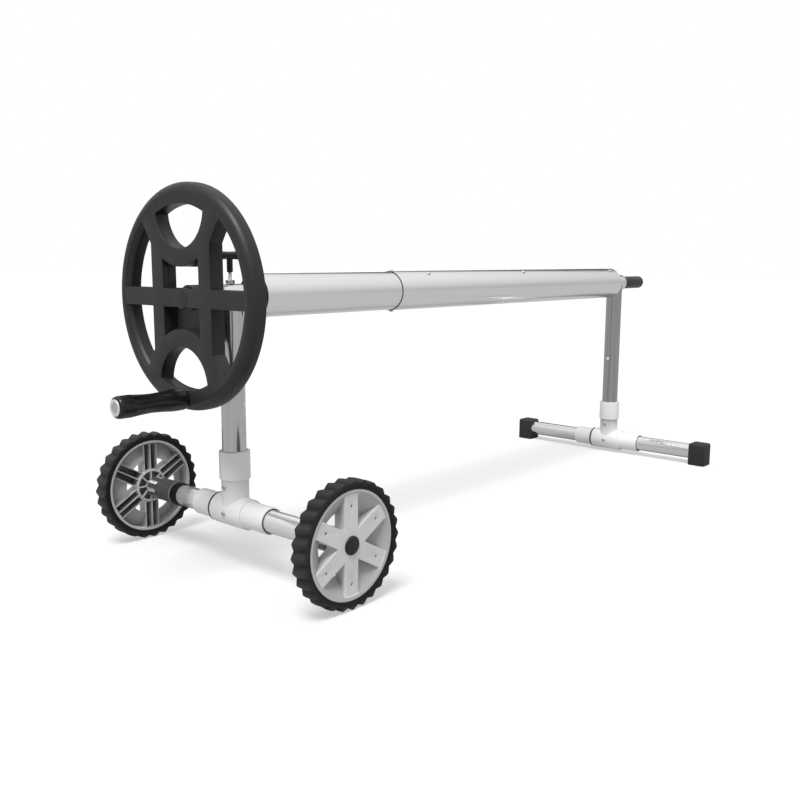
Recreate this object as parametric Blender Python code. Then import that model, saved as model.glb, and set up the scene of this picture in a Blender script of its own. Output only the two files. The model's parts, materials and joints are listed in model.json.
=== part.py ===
# Pool cover reel: two floor stands, a telescopic reel tube between them and a hand wheel.
# Metres, +Z up. X runs along the reel, -Y is the side of the front road wheel, Z = 0 is the ground.
# The origin is the middle of the reel's footprint, at ground level.

from math import asin, cos, pi, sin, sqrt

import bmesh
import bpy
from mathutils import Matrix, Vector

# Gap left at every seat, slide and bearing
SEAT_GAP = 0.0003

# Reel axis and stands
REEL_HEIGHT = 0.467
LEG_SPACING = 1.306
LEG_DIAMETER = 0.0412
LEG_WALL = 0.0015
SLEEVE_DIAMETER = 0.041
SLEEVE_WALL = 0.002
SLEEVE_LENGTH = 0.060
BUSH_WALL = 0.0014
BUSH_LENGTH = 0.018
BUSH_FLANGE = 0.002

# Reel tubes, measured along the reel
OUTER_TUBE_DIAMETER = 0.077
OUTER_TUBE_WALL = 0.0011
OUTER_TUBE_LENGTH = 0.8845
INNER_TUBE_WALL = 0.0015
INNER_TUBE_LENGTH = 0.800
INNER_TUBE_SETBACK = 0.018
TUBE_END_PLAY = 0.001
PLUG_LENGTH = 0.040
PLUG_FLANGE = 0.003
FAR_SHAFT_STICKOUT = 0.108
SHAFT_CHAMFER = 0.002

# Screws that lock the two tubes, and those that hold the cover straps
JOINT_SCREW_INSET = 0.0025
STRAP_SCREW_SHARES = (0.1114, 0.5003, 0.9638)
STRAP_SCREW_TILT = pi / 3
SCREW_HEAD_DIAMETER = 0.009
SCREW_HEAD_HEIGHT = 0.0026
SCREW_SHANK_DIAMETER = 0.004

# Hand wheel
WHEEL_DIAMETER = 0.360
WHEEL_THICKNESS = 0.026
WHEEL_SETBACK = 0.040
RIM_WIDTH = 0.030
RIM_CROWN = 0.014
RIM_EDGE = 0.003
CROSS_BAR_HEIGHT = 0.029
UPRIGHT_WIDTH = 0.030
WINDOW_WIDTH = 0.095
FLARE_LENGTH = 0.0294
FLARE_REACH = 0.0195
ARCH_CENTRE_INSET = 0.010
ARCH_RADIUS = 0.063
ARCH_BAND = 0.028
ARCH_RIM_LIP = 0.004
WINDOW_POCKET = 0.012
FLOOR_POCKET = 0.018
GROOVE_POCKET = 0.023
GROOVE_WIDTH = 0.0135
WINDOW_LEDGE = 0.001
PLATE_INSET = 0.0005
HUB_WALL = 0.0037
HUB_DEPTH = 0.012
WHEEL_PIN_DIAMETER = 0.005

# Crank grip
CRANK_INSET = 0.020
GRIP_LENGTH = 0.1215
GRIP_DIAMETER = 0.0352
GRIP_WAIST = 0.0302
CRANK_BOLT_DIAMETER = 0.010
CRANK_HEAD_INSET = 0.0045
CRANK_HEAD_HEIGHT = 0.003
CRANK_HEAD_EASE = 0.0006
GRIP_EASE = 0.001
CRANK_NUT_HEIGHT = 0.006

# Lock knob on the near sleeve
KNOB_RISE = 0.0465
KNOB_BAR_LENGTH = 0.060
KNOB_BAR_DIAMETER = 0.014
KNOB_STEM_WALL = 0.002
KNOB_STEM_DROP = 0.0275
KNOB_SCREW_DIAMETER = 0.006
KNOB_SCREW_GRIP = 0.012
LOCK_NUT_HEIGHT = 0.006
PAD_HEIGHT = 0.003

# Base tubes, tees and couplings
BASE_TUBE_DIAMETER = 0.038
BASE_TUBE_WALL = 0.0015
TEE_ARM_WALL = 0.0037
TEE_NECK_WALL = 0.0026
TEE_ARM_STEP = 0.0035
TEE_NECK_STEP = 0.003
TEE_SHOULDER = 0.0172
TEE_ARM_LENGTH = 0.0538
TEE_NECK_RISE = 0.0315
TEE_COLLAR_LENGTH = 0.048
TEE_LIP = 0.001
LEG_SOCKET_WALL = 0.0107
RING_WIDTH = 0.004
SEAL_DEPTH = 0.003
SEAL_LIP = 0.0023
UPPER_SCREW_RISE = 0.019
UPPER_SCREW_TIP = 0.004

# Axles and road wheels
TYRE_DIAMETER = 0.203
WHEEL_TRACK = 0.5378
AXLE_DIAMETER = 0.012
AXLE_EMBEDDED = 0.030
FRONT_AXLE_REACH = 0.0929
REAR_AXLE_REACH = 0.1189
AXLE_CHAMFER = 0.0008
COLLAR_STEP = 0.0018
COLLAR_LENGTH = 0.017
BARREL_LIP = 0.0015
BARREL_LIP_WIDTH = 0.003
BARREL_SLOTS = 8
BARREL_SLOT_WIDTH = 0.0065
BARREL_SLOT_LENGTH = 0.017
BARREL_SLOT_DEPTH = 0.005
SPACER_WALL = 0.0045
SPACER_LENGTH = 0.0148
WHEEL_END_PLAY = 0.0013
AXLE_NUT_HEIGHT = 0.0077
TYRE_DEPTH = 0.015
TYRE_OVERHANG = 0.0025
RIM_RING_WIDTH = 0.0045
DISH_WIDTH = 0.030
DISH_DEPTH = 0.0205
WEB_THICKNESS = 0.0038
HUB_BOSS_WALL = 0.0148
HUB_CORE_WALL = 0.0042
HUB_RIB = 0.003
HUB_RIBS = 8
SPOKE_COUNT = 6
SPOKE_WIDTH = 0.028
SPOKE_RECESS = 0.002
SPOKE_SKIN = 0.003
SPOKE_RIB = 0.0025
SPOKE_HOLE_INSET = 0.0205
SPOKE_HOLE_DIAMETER = 0.004
SPOKE_HOLE_DEPTH = 0.002
NUT_WELL_SPARE = 0.0043
NUT_WELL_ROOM = 0.0011
HUB_CAP_LIP = 0.0035
HUB_CAP_PLUG = 0.003
HUB_CAP_HEIGHT = 0.0036
TYRE_WIDTH = 0.030
LUG_COUNT = 28
LUG_HEIGHT = 0.005
LUG_SKEW = 0.6
SIDEWALL_INSET = 0.0096
BEAD_PROUD = 0.0008

# Feet and the plug in the far leg
FOOT_SOCKET = 0.038
FOOT_END_WALL = 0.0065
FOOT_SIDE_WALL = 0.0027
FOOT_TOP_WALL = 0.005
FOOT_SOLE = 0.0134
FOOT_PROUD = 0.003
FOOT_CHAMFER = 0.006
LEG_BUTTON_HEIGHT = 0.260

# Facets of round pieces
ROUND = 20
TUBE_ROUND = 28
SMALL_ROUND = 8
RIM_ROUND = 40
WHEEL_ROUND = 32
LUG_STEPS = 3

# Sizes that follow from those above
leg_radius = LEG_DIAMETER / 2
sleeve_radius = SLEEVE_DIAMETER / 2
sleeve_bore = sleeve_radius - SLEEVE_WALL
bush_radius = sleeve_bore - SEAT_GAP
bush_bore = bush_radius - BUSH_WALL
shaft_radius = bush_bore - SEAT_GAP
outer_tube_radius = OUTER_TUBE_DIAMETER / 2
outer_tube_bore = outer_tube_radius - OUTER_TUBE_WALL
inner_tube_radius = outer_tube_bore - SEAT_GAP
inner_tube_bore = inner_tube_radius - INNER_TUBE_WALL
base_radius = BASE_TUBE_DIAMETER / 2
base_bore = base_radius - BASE_TUBE_WALL
base_socket = base_radius + SEAT_GAP
near_base_height = TYRE_DIAMETER / 2
far_base_height = base_socket + FOOT_SOLE
tee_arm_radius = base_socket + TEE_ARM_WALL
tee_neck_radius = leg_radius + SEAT_GAP + TEE_NECK_WALL
tee_body_radius = max(tee_arm_radius + TEE_ARM_STEP, tee_neck_radius + TEE_NECK_STEP)
tee_body_half = tee_neck_radius + TEE_SHOULDER
tee_arm_reach = tee_body_half + TEE_ARM_LENGTH
tee_neck_top = tee_body_radius + TEE_NECK_RISE
tee_collar_top = tee_neck_top + TEE_COLLAR_LENGTH
leg_socket_floor = base_socket + LEG_SOCKET_WALL
upper_screw_height = tee_body_radius + UPPER_SCREW_RISE
foot_length = FOOT_SOCKET + FOOT_END_WALL
foot_width = 2 * (base_socket + FOOT_SIDE_WALL)
foot_height = far_base_height + base_socket + FOOT_TOP_WALL
wheel_radius = WHEEL_DIAMETER / 2
rim_inner = wheel_radius - RIM_WIDTH
arch_centre = rim_inner - ARCH_CENTRE_INSET
arch_height = arch_centre - ARCH_RADIUS
crank_radius = wheel_radius - CRANK_INSET
spindle_radius = CRANK_BOLT_DIAMETER / 2
crank_nut_flats = CRANK_BOLT_DIAMETER * 1.6
crank_head_radius = GRIP_DIAMETER / 2 - CRANK_HEAD_INSET
lock_screw_radius = KNOB_SCREW_DIAMETER / 2
lock_nut_flats = lock_screw_radius * 13 / 3
knob_height = sleeve_radius + KNOB_RISE

# Sizes of the road wheels and their axles
axle_radius = AXLE_DIAMETER / 2
axle_bore = axle_radius + SEAT_GAP
axle_nut_flats = AXLE_DIAMETER * 1.5
nut_well_radius = axle_nut_flats / 2 / cos(pi / 6) + NUT_WELL_ROOM
nut_well_depth = AXLE_NUT_HEIGHT + NUT_WELL_SPARE
hub_cap_radius = nut_well_radius + HUB_CAP_LIP
hub_boss_radius = hub_cap_radius + HUB_BOSS_WALL
barrel_radius = base_radius + COLLAR_STEP
barrel_core = barrel_radius - BARREL_SLOT_DEPTH
spacer_radius = axle_radius + SPACER_WALL
road_rim_radius = TYRE_DIAMETER / 2 - TYRE_DEPTH
road_ring_bore = road_rim_radius - RIM_RING_WIDTH
dish_radius = road_ring_bore - DISH_WIDTH
spoke_hole_radius = road_ring_bore - SPOKE_HOLE_INSET
rim_axial_width = TYRE_WIDTH - 2 * TYRE_OVERHANG

# Stations along the reel, measured from the near leg's axis
sleeve_half = SLEEVE_LENGTH / 2
bush_end = sleeve_half + BUSH_FLANGE
wheel_back = -bush_end - WHEEL_SETBACK
wheel_front = wheel_back - WHEEL_THICKNESS
grip_end = wheel_front - SEAT_GAP - GRIP_LENGTH
crank_end = grip_end - CRANK_HEAD_HEIGHT / 2
inner_tube_start = bush_end + INNER_TUBE_SETBACK
inner_tube_end = inner_tube_start + INNER_TUBE_LENGTH
far_tube_end = LEG_SPACING - bush_end - TUBE_END_PLAY
mouth = far_tube_end - OUTER_TUBE_LENGTH
far_end = LEG_SPACING + sleeve_half + FAR_SHAFT_STICKOUT
near_x = -(crank_end + far_end) / 2

# Stations along each axle, measured outwards from the reel's middle plane
wheel_middle = WHEEL_TRACK / 2
wheel_inner_face = -(rim_axial_width / 2 + SEAT_GAP)
spoke_face = rim_axial_width / 2 - SPOKE_RECESS
nut_well_floor = spoke_face - nut_well_depth
spacer_end = wheel_inner_face - WHEEL_END_PLAY
near_base_front = wheel_middle - FRONT_AXLE_REACH
near_base_rear = wheel_middle - REAR_AXLE_REACH
far_base_half = wheel_middle + TYRE_WIDTH / 2 + FOOT_PROUD - FOOT_END_WALL - SEAT_GAP

# Colour, roughness and metallic value of each finish
FINISHES = {
    "polished_steel": ((0.72, 0.73, 0.74), 0.18, 1.0),
    "satin_aluminium": ((0.60, 0.61, 0.63), 0.34, 1.0),
    "zinc_steel": ((0.55, 0.56, 0.57), 0.35, 1.0),
    "black_plastic": ((0.040, 0.040, 0.040), 0.48, 0.0),
    "grip_plastic": ((0.020, 0.020, 0.020), 0.30, 0.0),
    "white_plastic": ((0.78, 0.78, 0.79), 0.42, 0.0),
    "grey_plastic": ((0.47, 0.48, 0.49), 0.50, 0.0),
    "dark_plastic": ((0.075, 0.075, 0.080), 0.50, 0.0),
    "tyre_rubber": ((0.022, 0.022, 0.022), 0.75, 0.0),
    "foot_rubber": ((0.018, 0.018, 0.018), 0.62, 0.0),
}

# Local Z of a turned shape to the axis that it lies along
ALONG_X = Matrix(((0, 0, 1), (1, 0, 0), (0, 1, 0))).to_4x4()
ALONG_Y = Matrix(((0, 1, 0), (0, 0, 1), (1, 0, 0))).to_4x4()
ALONG_Z = Matrix.Identity(4)


def clear_scene():
    for old in list(bpy.data.objects):
        bpy.data.objects.remove(old, do_unlink=True)


def add_frame(name, place, turn=0.0):
    # An empty that carries the pieces of one moving group, on that group's axis
    frame = bpy.data.objects.new(name, None)
    frame.location = place
    frame.rotation_euler = (0.0, 0.0, turn)
    frame.empty_display_size = 0.03
    bpy.context.scene.collection.objects.link(frame)
    return frame


def new_object(name, shape):
    mesh = bpy.data.meshes.new(name)
    bmesh.ops.recalc_face_normals(shape, faces=shape.faces)
    shape.to_mesh(mesh)
    shape.free()
    piece = bpy.data.objects.new(name, mesh)
    bpy.context.scene.collection.objects.link(piece)
    return piece


def finish(piece, frame, look):
    colour, roughness, metallic = FINISHES[look]
    material = bpy.data.materials.new(piece.name)
    material.use_nodes = True
    shader = material.node_tree.nodes["Principled BSDF"]
    shader.inputs["Base Color"].default_value = (*colour, 1.0)
    shader.inputs["Roughness"].default_value = roughness
    shader.inputs["Metallic"].default_value = metallic
    piece.data.materials.clear()
    piece.data.materials.append(material)
    piece.data.shade_smooth()
    piece.data.set_sharp_from_angle(angle=pi / 6)
    piece.parent = frame
    return piece


def loft(name, loops, axis=ALONG_Z, closed=False):
    # Skins a row of point loops; a loop of one point closes to a tip, closed joins last to first
    shape = bmesh.new()
    rows = [[shape.verts.new(axis @ Vector(point)) for point in loop] for loop in loops]
    pairs = list(zip(rows, rows[1:]))
    if closed:
        pairs.append((rows[-1], rows[0]))
    for low, high in pairs:
        count = max(len(low), len(high))
        for i in range(count):
            j = (i + 1) % count
            corners = [low[i % len(low)], low[j % len(low)], high[j % len(high)], high[i % len(high)]]
            shape.faces.new(list(dict.fromkeys(corners)))
    if not closed:
        for row in (rows[0], rows[-1]):
            if len(row) > 1:
                shape.faces.new(row)
    return new_object(name, shape)


def ring_points(radius, height, facets):
    if radius <= 0.0:
        return [(0.0, 0.0, height)]
    turns = [2 * pi * i / facets for i in range(facets)]
    return [(radius * cos(t), radius * sin(t), height) for t in turns]


def turned(name, profile, axis=ALONG_Z, facets=ROUND, closed=False):
    # A lathe shape from (radius, distance along the axis) points
    loops = [ring_points(radius, height, facets) for radius, height in profile]
    return loft(name, loops, axis, closed)


def pipe(name, outer, bore, start, end, axis=ALONG_Z, facets=ROUND):
    profile = [(outer, start), (outer, end), (bore, end), (bore, start)]
    return turned(name, profile, axis, facets, closed=True)


def rod(name, radius, start, end, axis=ALONG_Z, facets=ROUND):
    return turned(name, [(radius, start), (radius, end)], axis, facets)


def block(name, low, high, chamfer=0.0):
    shape = bmesh.new()
    bmesh.ops.create_cube(shape, size=1.0)
    for vert in shape.verts:
        spots = zip(vert.co, low, high)
        vert.co = [a + (b - a) * (c + 0.5) for c, a, b in spots]
    if chamfer:
        edges = [e for e in shape.edges if max(v.co.z for v in e.verts) > (low[2] + high[2]) / 2]
        bmesh.ops.bevel(shape, geom=edges, offset=chamfer, segments=2, profile=0.5, affect="EDGES")
    return new_object(name, shape)


def plate(name, outlines, start, end, axis=ALONG_Z):
    # A flat shape pushed along the axis: the first outline is its edge, the others are its holes
    shape = bmesh.new()
    pairs, rims, edges = {}, [], []
    for outline in outlines:
        low = [shape.verts.new(axis @ Vector((x, y, start))) for x, y in outline]
        high = [shape.verts.new(axis @ Vector((x, y, end))) for x, y in outline]
        pairs.update(zip(low, high))
        rims.append((low, high))
        edges += [shape.edges.new(ends) for ends in zip(low, low[1:] + low[:1])]
    fill = bmesh.ops.triangle_fill(shape, use_beauty=True, edges=edges)
    floor = [part for part in fill["geom"] if isinstance(part, bmesh.types.BMFace)]
    for face in floor:
        shape.faces.new([pairs[vert] for vert in reversed(face.verts)])
    for low, high in rims:
        for i in range(len(low)):
            j = (i + 1) % len(low)
            shape.faces.new((low[i], low[j], high[j], high[i]))
    return new_object(name, shape)


def gather(name, pieces):
    # Several separate shapes as one cutter
    shape = bmesh.new()
    for piece in pieces:
        shape.from_mesh(piece.data)
        bpy.data.objects.remove(piece, do_unlink=True)
    return new_object(name, shape)


def combine(target, tools, operation):
    for tool in tools:
        step = target.modifiers.new(operation.lower(), "BOOLEAN")
        step.operation = operation
        step.solver = "EXACT"
        step.object = tool
        with bpy.context.temp_override(object=target, active_object=target, selected_objects=[target]):
            bpy.ops.object.modifier_apply(modifier=step.name)
        bpy.data.objects.remove(tool, do_unlink=True)
    return target


def cut(target, *tools):
    return combine(target, tools, "DIFFERENCE")


def join(target, *tools):
    return combine(target, tools, "UNION")


def moved(piece, offset):
    piece.data.transform(Matrix.Translation(offset))
    return piece


def spun(piece, angle, axis):
    piece.data.transform(Matrix.Rotation(angle, 4, axis))
    return piece


def arc(radius, start, end, steps, centre=(0.0, 0.0)):
    angles = [start + (end - start) * i / steps for i in range(steps + 1)]
    return [(centre[0] + radius * cos(a), centre[1] + radius * sin(a)) for a in angles]


def hex_nut(name, flats, bore, start, end, axis):
    # Six flat sides around a round bore, skinned as one ring
    def side(turn):
        return flats / 2 / cos((turn + pi / 6) % (pi / 3) - pi / 6)

    facets = 12
    turns = [2 * pi * i / facets for i in range(facets)]
    outer = [[(side(t) * cos(t), side(t) * sin(t), height) for t in turns] for height in (start, end)]
    inner = [ring_points(bore / cos(pi / facets), height, facets) for height in (end, start)]
    return loft(name, outer + inner, axis, closed=True)


def pan_screw(name, seat, shank):
    # A domed head that rises from the seat and a shank that goes down from it, along local Z
    head = SCREW_HEAD_DIAMETER / 2
    low = seat + SEAT_GAP
    profile = [
        (0.0, low - shank),
        (SCREW_SHANK_DIAMETER / 2, low - shank),
        (SCREW_SHANK_DIAMETER / 2, low),
        (head, low),
        (head, low + SCREW_HEAD_HEIGHT * 0.45),
        (head * 0.72, low + SCREW_HEAD_HEIGHT * 0.88),
        (0.0, low + SCREW_HEAD_HEIGHT),
    ]
    return turned(name, profile, facets=SMALL_ROUND)


def screw_hole(radius, depth, outward):
    # Cutter for a screw's hole through a wall, along local Z
    return rod("screw_hole", SCREW_SHANK_DIAMETER / 2 + SEAT_GAP, radius - depth, radius + outward,
               facets=SMALL_ROUND)


def face_minus_x(piece, height):
    # Turns a screw made along Z so that its head faces the hand wheel's side, at this height
    return moved(spun(piece, -pi / 2, "Y"), (0.0, 0.0, height))


def make_leg(name, base_height, frame):
    # A straight tube, coped at the top around the sleeve
    floor = base_height + leg_socket_floor + SEAT_GAP
    leg = pipe(name, leg_radius, leg_radius - LEG_WALL, floor, REEL_HEIGHT)
    cope = rod("cope", sleeve_radius + SEAT_GAP, -leg_radius * 2, leg_radius * 2, ALONG_X)
    cut(leg, moved(cope, (0.0, 0.0, REEL_HEIGHT)), upper_screw_hole(base_height))
    return finish(leg, frame, "polished_steel")


def upper_screw_hole(base_height):
    # Cutter for the screw that goes right through the tee's neck and the leg
    reach = tee_neck_radius + UPPER_SCREW_TIP
    hole = rod("upper_hole", SCREW_SHANK_DIAMETER / 2 + SEAT_GAP, -reach, reach, ALONG_X, SMALL_ROUND)
    return moved(hole, (0.0, 0.0, base_height + upper_screw_height))


def make_sleeve(name, frame, lock_hole):
    sleeve = pipe(name, sleeve_radius, sleeve_bore, -sleeve_half, sleeve_half, ALONG_X)
    if lock_hole:
        cut(sleeve, rod("lock_hole", lock_screw_radius + SEAT_GAP * 2, 0.0, sleeve_radius * 2,
                        facets=SMALL_ROUND))
    return finish(sleeve, frame, "polished_steel")


def make_bush(name, side, frame):
    # A flanged bearing bush pressed into one end of the sleeve
    seat = sleeve_half + SEAT_GAP
    profile = [
        (bush_bore, seat - BUSH_LENGTH),
        (bush_radius, seat - BUSH_LENGTH),
        (bush_radius, seat),
        (sleeve_radius, seat),
        (sleeve_radius, bush_end),
        (bush_bore, bush_end),
    ]
    spots = [(radius, side * along) for radius, along in profile]
    return finish(turned(name, spots, ALONG_X, closed=True), frame, "dark_plastic")


def make_tee(name, base_height, frame):
    # A pipe tee: the run takes the base tube, the collar takes the leg
    body, neck, arm = tee_body_radius, tee_neck_radius, tee_arm_radius
    tee = turned(name, [(arm, -tee_arm_reach), (arm, -tee_body_half), (body, -tee_body_half),
                        (body, tee_body_half)], ALONG_Y)
    riser = turned("riser", [(neck, 0.0), (neck, tee_neck_top), (body - TEE_LIP, tee_neck_top),
                             (body, tee_neck_top + TEE_LIP), (body, tee_collar_top - TEE_LIP),
                             (body - TEE_LIP, tee_collar_top)])
    join(tee, spun(riser, pi / ROUND, "Z"))
    seal_floor = SEAL_DEPTH + SEAT_GAP - tee_arm_reach
    run_bore = turned("run_bore", [(seal_radius() + SEAT_GAP, -tee_arm_reach * 2),
                                   (seal_radius() + SEAT_GAP, seal_floor), (base_socket, seal_floor),
                                   (base_socket, tee_arm_reach)], ALONG_Y)
    leg_bore = rod("leg_bore", leg_radius + SEAT_GAP, leg_socket_floor, tee_collar_top * 2)
    spare = SCREW_HEAD_HEIGHT
    lower = face_minus_x(screw_hole(body, lower_shank() + spare, spare), 0.0)
    cut(tee, run_bore, leg_bore, lower, upper_screw_hole(0.0))
    return finish(moved(tee, (0.0, 0.0, base_height)), frame, "white_plastic")


def seal_radius():
    return tee_arm_radius - SEAL_LIP


def lower_shank():
    return tee_body_radius - base_radius - SEAT_GAP * 2


def make_run_fittings(prefix, base_height, frame):
    # The coupling, its dark spacer ring and the seal in the tee's open mouth
    ring_start = tee_body_half + SEAT_GAP
    ring_end = ring_start + RING_WIDTH
    ring = pipe(prefix + "_spacer_ring", tee_body_radius - SEAT_GAP, base_socket,
                ring_start, ring_end, ALONG_Y)
    coupling = pipe(prefix + "_coupling", tee_arm_radius, base_socket,
                    ring_end + SEAT_GAP, tee_arm_reach, ALONG_Y)
    seal = pipe(prefix + "_tee_seal", seal_radius(), base_socket,
                -tee_arm_reach, -tee_arm_reach + SEAL_DEPTH, ALONG_Y)
    for piece, look in ((ring, "dark_plastic"), (coupling, "white_plastic"), (seal, "foot_rubber")):
        finish(moved(piece, (0.0, 0.0, base_height)), frame, look)


def make_tee_screws(prefix, base_height, frame):
    lower = pan_screw(prefix + "_tee_screw_lower", tee_body_radius, lower_shank())
    upper = pan_screw(prefix + "_tee_screw_upper", tee_neck_radius, 2 * tee_neck_radius + UPPER_SCREW_TIP)
    finish(face_minus_x(lower, base_height), frame, "zinc_steel")
    finish(face_minus_x(upper, base_height + upper_screw_height), frame, "zinc_steel")


def make_base_tube(name, front, rear, height, frame):
    tube = pipe(name, base_radius, base_bore, -front, rear, ALONG_Y)
    return finish(moved(tube, (0.0, 0.0, height)), frame, "polished_steel")


def make_axle_plug(name, reach, frame):
    # Spigot in the base tube, collar against its end, lipped barrel with slots and a spacer to the hub
    start = SEAT_GAP - reach
    collar_end = start + COLLAR_LENGTH
    lip_end = collar_end + BARREL_LIP_WIDTH
    barrel_end = spacer_end - SPACER_LENGTH
    spigot = base_bore - SEAT_GAP
    lip = barrel_radius + BARREL_LIP
    plug = turned(name, [(axle_bore, start - AXLE_EMBEDDED), (spigot, start - AXLE_EMBEDDED),
                         (spigot, start), (barrel_radius, start), (barrel_radius, collar_end),
                         (lip, collar_end), (lip, lip_end), (barrel_radius, lip_end),
                         (barrel_radius, barrel_end), (spacer_radius, barrel_end),
                         (spacer_radius, spacer_end), (axle_bore, spacer_end)], ALONG_Y, closed=True)
    slots = []
    for i in range(BARREL_SLOTS):
        slot = block("slot", (-BARREL_SLOT_WIDTH / 2, barrel_end - BARREL_SLOT_LENGTH, barrel_core),
                     (BARREL_SLOT_WIDTH / 2, spacer_end, barrel_radius * 2))
        slots.append(spun(slot, 2 * pi * i / BARREL_SLOTS, "Y"))
    return finish(cut(plug, gather("slots", slots)), frame, "dark_plastic")


def make_axle_pin(name, reach, frame):
    start = -reach - AXLE_EMBEDDED
    end = nut_well_floor + SEAT_GAP + AXLE_NUT_HEIGHT
    profile = [(axle_radius, start), (axle_radius, end - AXLE_CHAMFER), (axle_radius - AXLE_CHAMFER, end)]
    return finish(turned(name, profile, ALONG_Y), frame, "zinc_steel")


def make_axle_nut(name, frame):
    start = nut_well_floor + SEAT_GAP
    nut = hex_nut(name, axle_nut_flats, axle_bore, start, start + AXLE_NUT_HEIGHT, ALONG_Y)
    return finish(nut, frame, "zinc_steel")


def make_rim(name, frame):
    # Plastic wheel: ring with a cone that dips from its outer edge, and six channel spokes on a hub
    half = rim_axial_width / 2
    ring, rim = road_ring_bore, road_rim_radius
    dish = half - DISH_DEPTH
    wheel = turned(name, [(dish_radius, dish), (dish_radius, dish - WEB_THICKNESS),
                          (ring, half - WEB_THICKNESS), (ring, -half), (rim, -half), (rim, half),
                          (ring, half)], ALONG_Y, WHEEL_ROUND, closed=True)
    star = plate("star", [spoke_star(ring + RIM_RING_WIDTH / 2)], SEAT_GAP - half, spoke_face, ALONG_Y)
    boss = rod("boss", hub_boss_radius, wheel_inner_face, 0.0, ALONG_Y)
    join(wheel, star, boss)
    well = turned("well", [(axle_bore, -rim_axial_width), (axle_bore, nut_well_floor),
                           (nut_well_radius, nut_well_floor), (nut_well_radius, rim_axial_width)], ALONG_Y)
    cut(wheel, spoke_hollows(), hub_pockets(), well)
    return finish(wheel, frame, "grey_plastic")


def spoke_star(reach):
    # Parallel-sided spokes; neighbours meet at the hub, and their ends sink into the ring
    step = 2 * pi / SPOKE_COUNT
    half = asin(SPOKE_WIDTH / 2 / reach)
    fork = SPOKE_WIDTH / 2 / sin(step / 2)
    outline = []
    for i in range(SPOKE_COUNT):
        outline += arc(reach, i * step - half, i * step + half, 2)
        outline.append((fork * cos((i + 0.5) * step), fork * sin((i + 0.5) * step)))
    return outline


def spoke_hollows():
    # Two channels under each spoke with a rib between them, and a small blind hole in its face
    width = (SPOKE_WIDTH - 3 * SPOKE_RIB) / 2
    start, end = hub_boss_radius + SPOKE_RIB, road_ring_bore - SPOKE_RIB
    hollows = []
    for i in range(SPOKE_COUNT):
        angle = i * 2 * pi / SPOKE_COUNT
        for side in (-1, 1):
            middle = side * (SPOKE_RIB + width) / 2
            channel = block("channel", (middle - width / 2, -rim_axial_width, start),
                            (middle + width / 2, spoke_face - SPOKE_SKIN, end))
            hollows.append(spun(channel, angle, "Y"))
        hole = rod("hole", SPOKE_HOLE_DIAMETER / 2, spoke_face - SPOKE_HOLE_DEPTH, rim_axial_width,
                   ALONG_Y, SMALL_ROUND)
        hollows.append(spun(moved(hole, (0.0, 0.0, spoke_hole_radius)), angle, "Y"))
    return gather("hollows", hollows)


def hub_pockets():
    # Pockets in the hub's inner face, with a rib between each two
    step = 2 * pi / HUB_RIBS
    outer, inner = hub_boss_radius - HUB_RIB, axle_bore + HUB_CORE_WALL
    outer_lean, inner_lean = asin(HUB_RIB / 2 / outer), asin(HUB_RIB / 2 / inner)
    pockets = []
    for i in range(HUB_RIBS):
        low, high = i * step, (i + 1) * step
        outline = arc(outer, low + outer_lean, high - outer_lean, 3)
        outline += arc(inner, high - inner_lean, low + inner_lean, 1)
        pockets.append(plate("pocket", [outline], -rim_axial_width, nut_well_floor - SPOKE_SKIN, ALONG_Y))
    return gather("pockets", pockets)


def make_hub_cap(name, frame):
    base = spoke_face + SEAT_GAP
    skirt = nut_well_radius - SEAT_GAP
    cap = hub_cap_radius
    profile = [
        (0.0, base - HUB_CAP_PLUG), (skirt, base - HUB_CAP_PLUG), (skirt, base), (cap, base),
        (cap, base + HUB_CAP_HEIGHT * 0.45), (cap * 0.86, base + HUB_CAP_HEIGHT * 0.85),
        (0.0, base + HUB_CAP_HEIGHT),
    ]
    return finish(turned(name, profile, ALONG_Y), frame, "grip_plastic")


def make_tyre(name, frame):
    # Rubber band with slanted lugs; the crown rises and falls around the wheel
    seat = road_rim_radius + SEAT_GAP
    crown = TYRE_DIAMETER / 2
    wide = TYRE_WIDTH / 2
    bead = rim_axial_width / 2 + BEAD_PROUD
    loops = []
    steps = LUG_COUNT * LUG_STEPS
    for i in range(steps):
        turn = -pi / 2 + 2 * pi * i / steps
        section = [(seat, -bead), (crown - SIDEWALL_INSET, -wide)]
        for share in (-0.8, 0.0, 0.8):
            phase = LUG_COUNT * (turn + pi / 2) + LUG_SKEW * share
            rise = 0.5 + 0.5 * cos(phase)
            sag = LUG_HEIGHT * 0.35 * share ** 2
            section.append((crown - sag - LUG_HEIGHT * (1 - rise), wide * share))
        section += [(crown - SIDEWALL_INSET, wide), (seat, bead)]
        loops.append([(r * cos(turn), along, r * sin(turn)) for r, along in section])
    return finish(loft(name, loops, closed=True), frame, "tyre_rubber")


def make_foot(name, side, frame):
    # Block foot: flat sole, blind socket for the base tube, eased upper edges
    inner = far_base_half - FOOT_SOCKET + SEAT_GAP
    outer = inner + foot_length
    low, high = sorted((side * inner, side * outer))
    foot = block(name, (-foot_width / 2, low, 0.0), (foot_width / 2, high, foot_height), FOOT_CHAMFER)
    ends = sorted((side * (inner - foot_length), side * (inner + FOOT_SOCKET)))
    socket = moved(rod("socket", base_socket, *ends, ALONG_Y), (0.0, 0.0, far_base_height))
    return finish(cut(foot, socket), frame, "foot_rubber")


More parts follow.
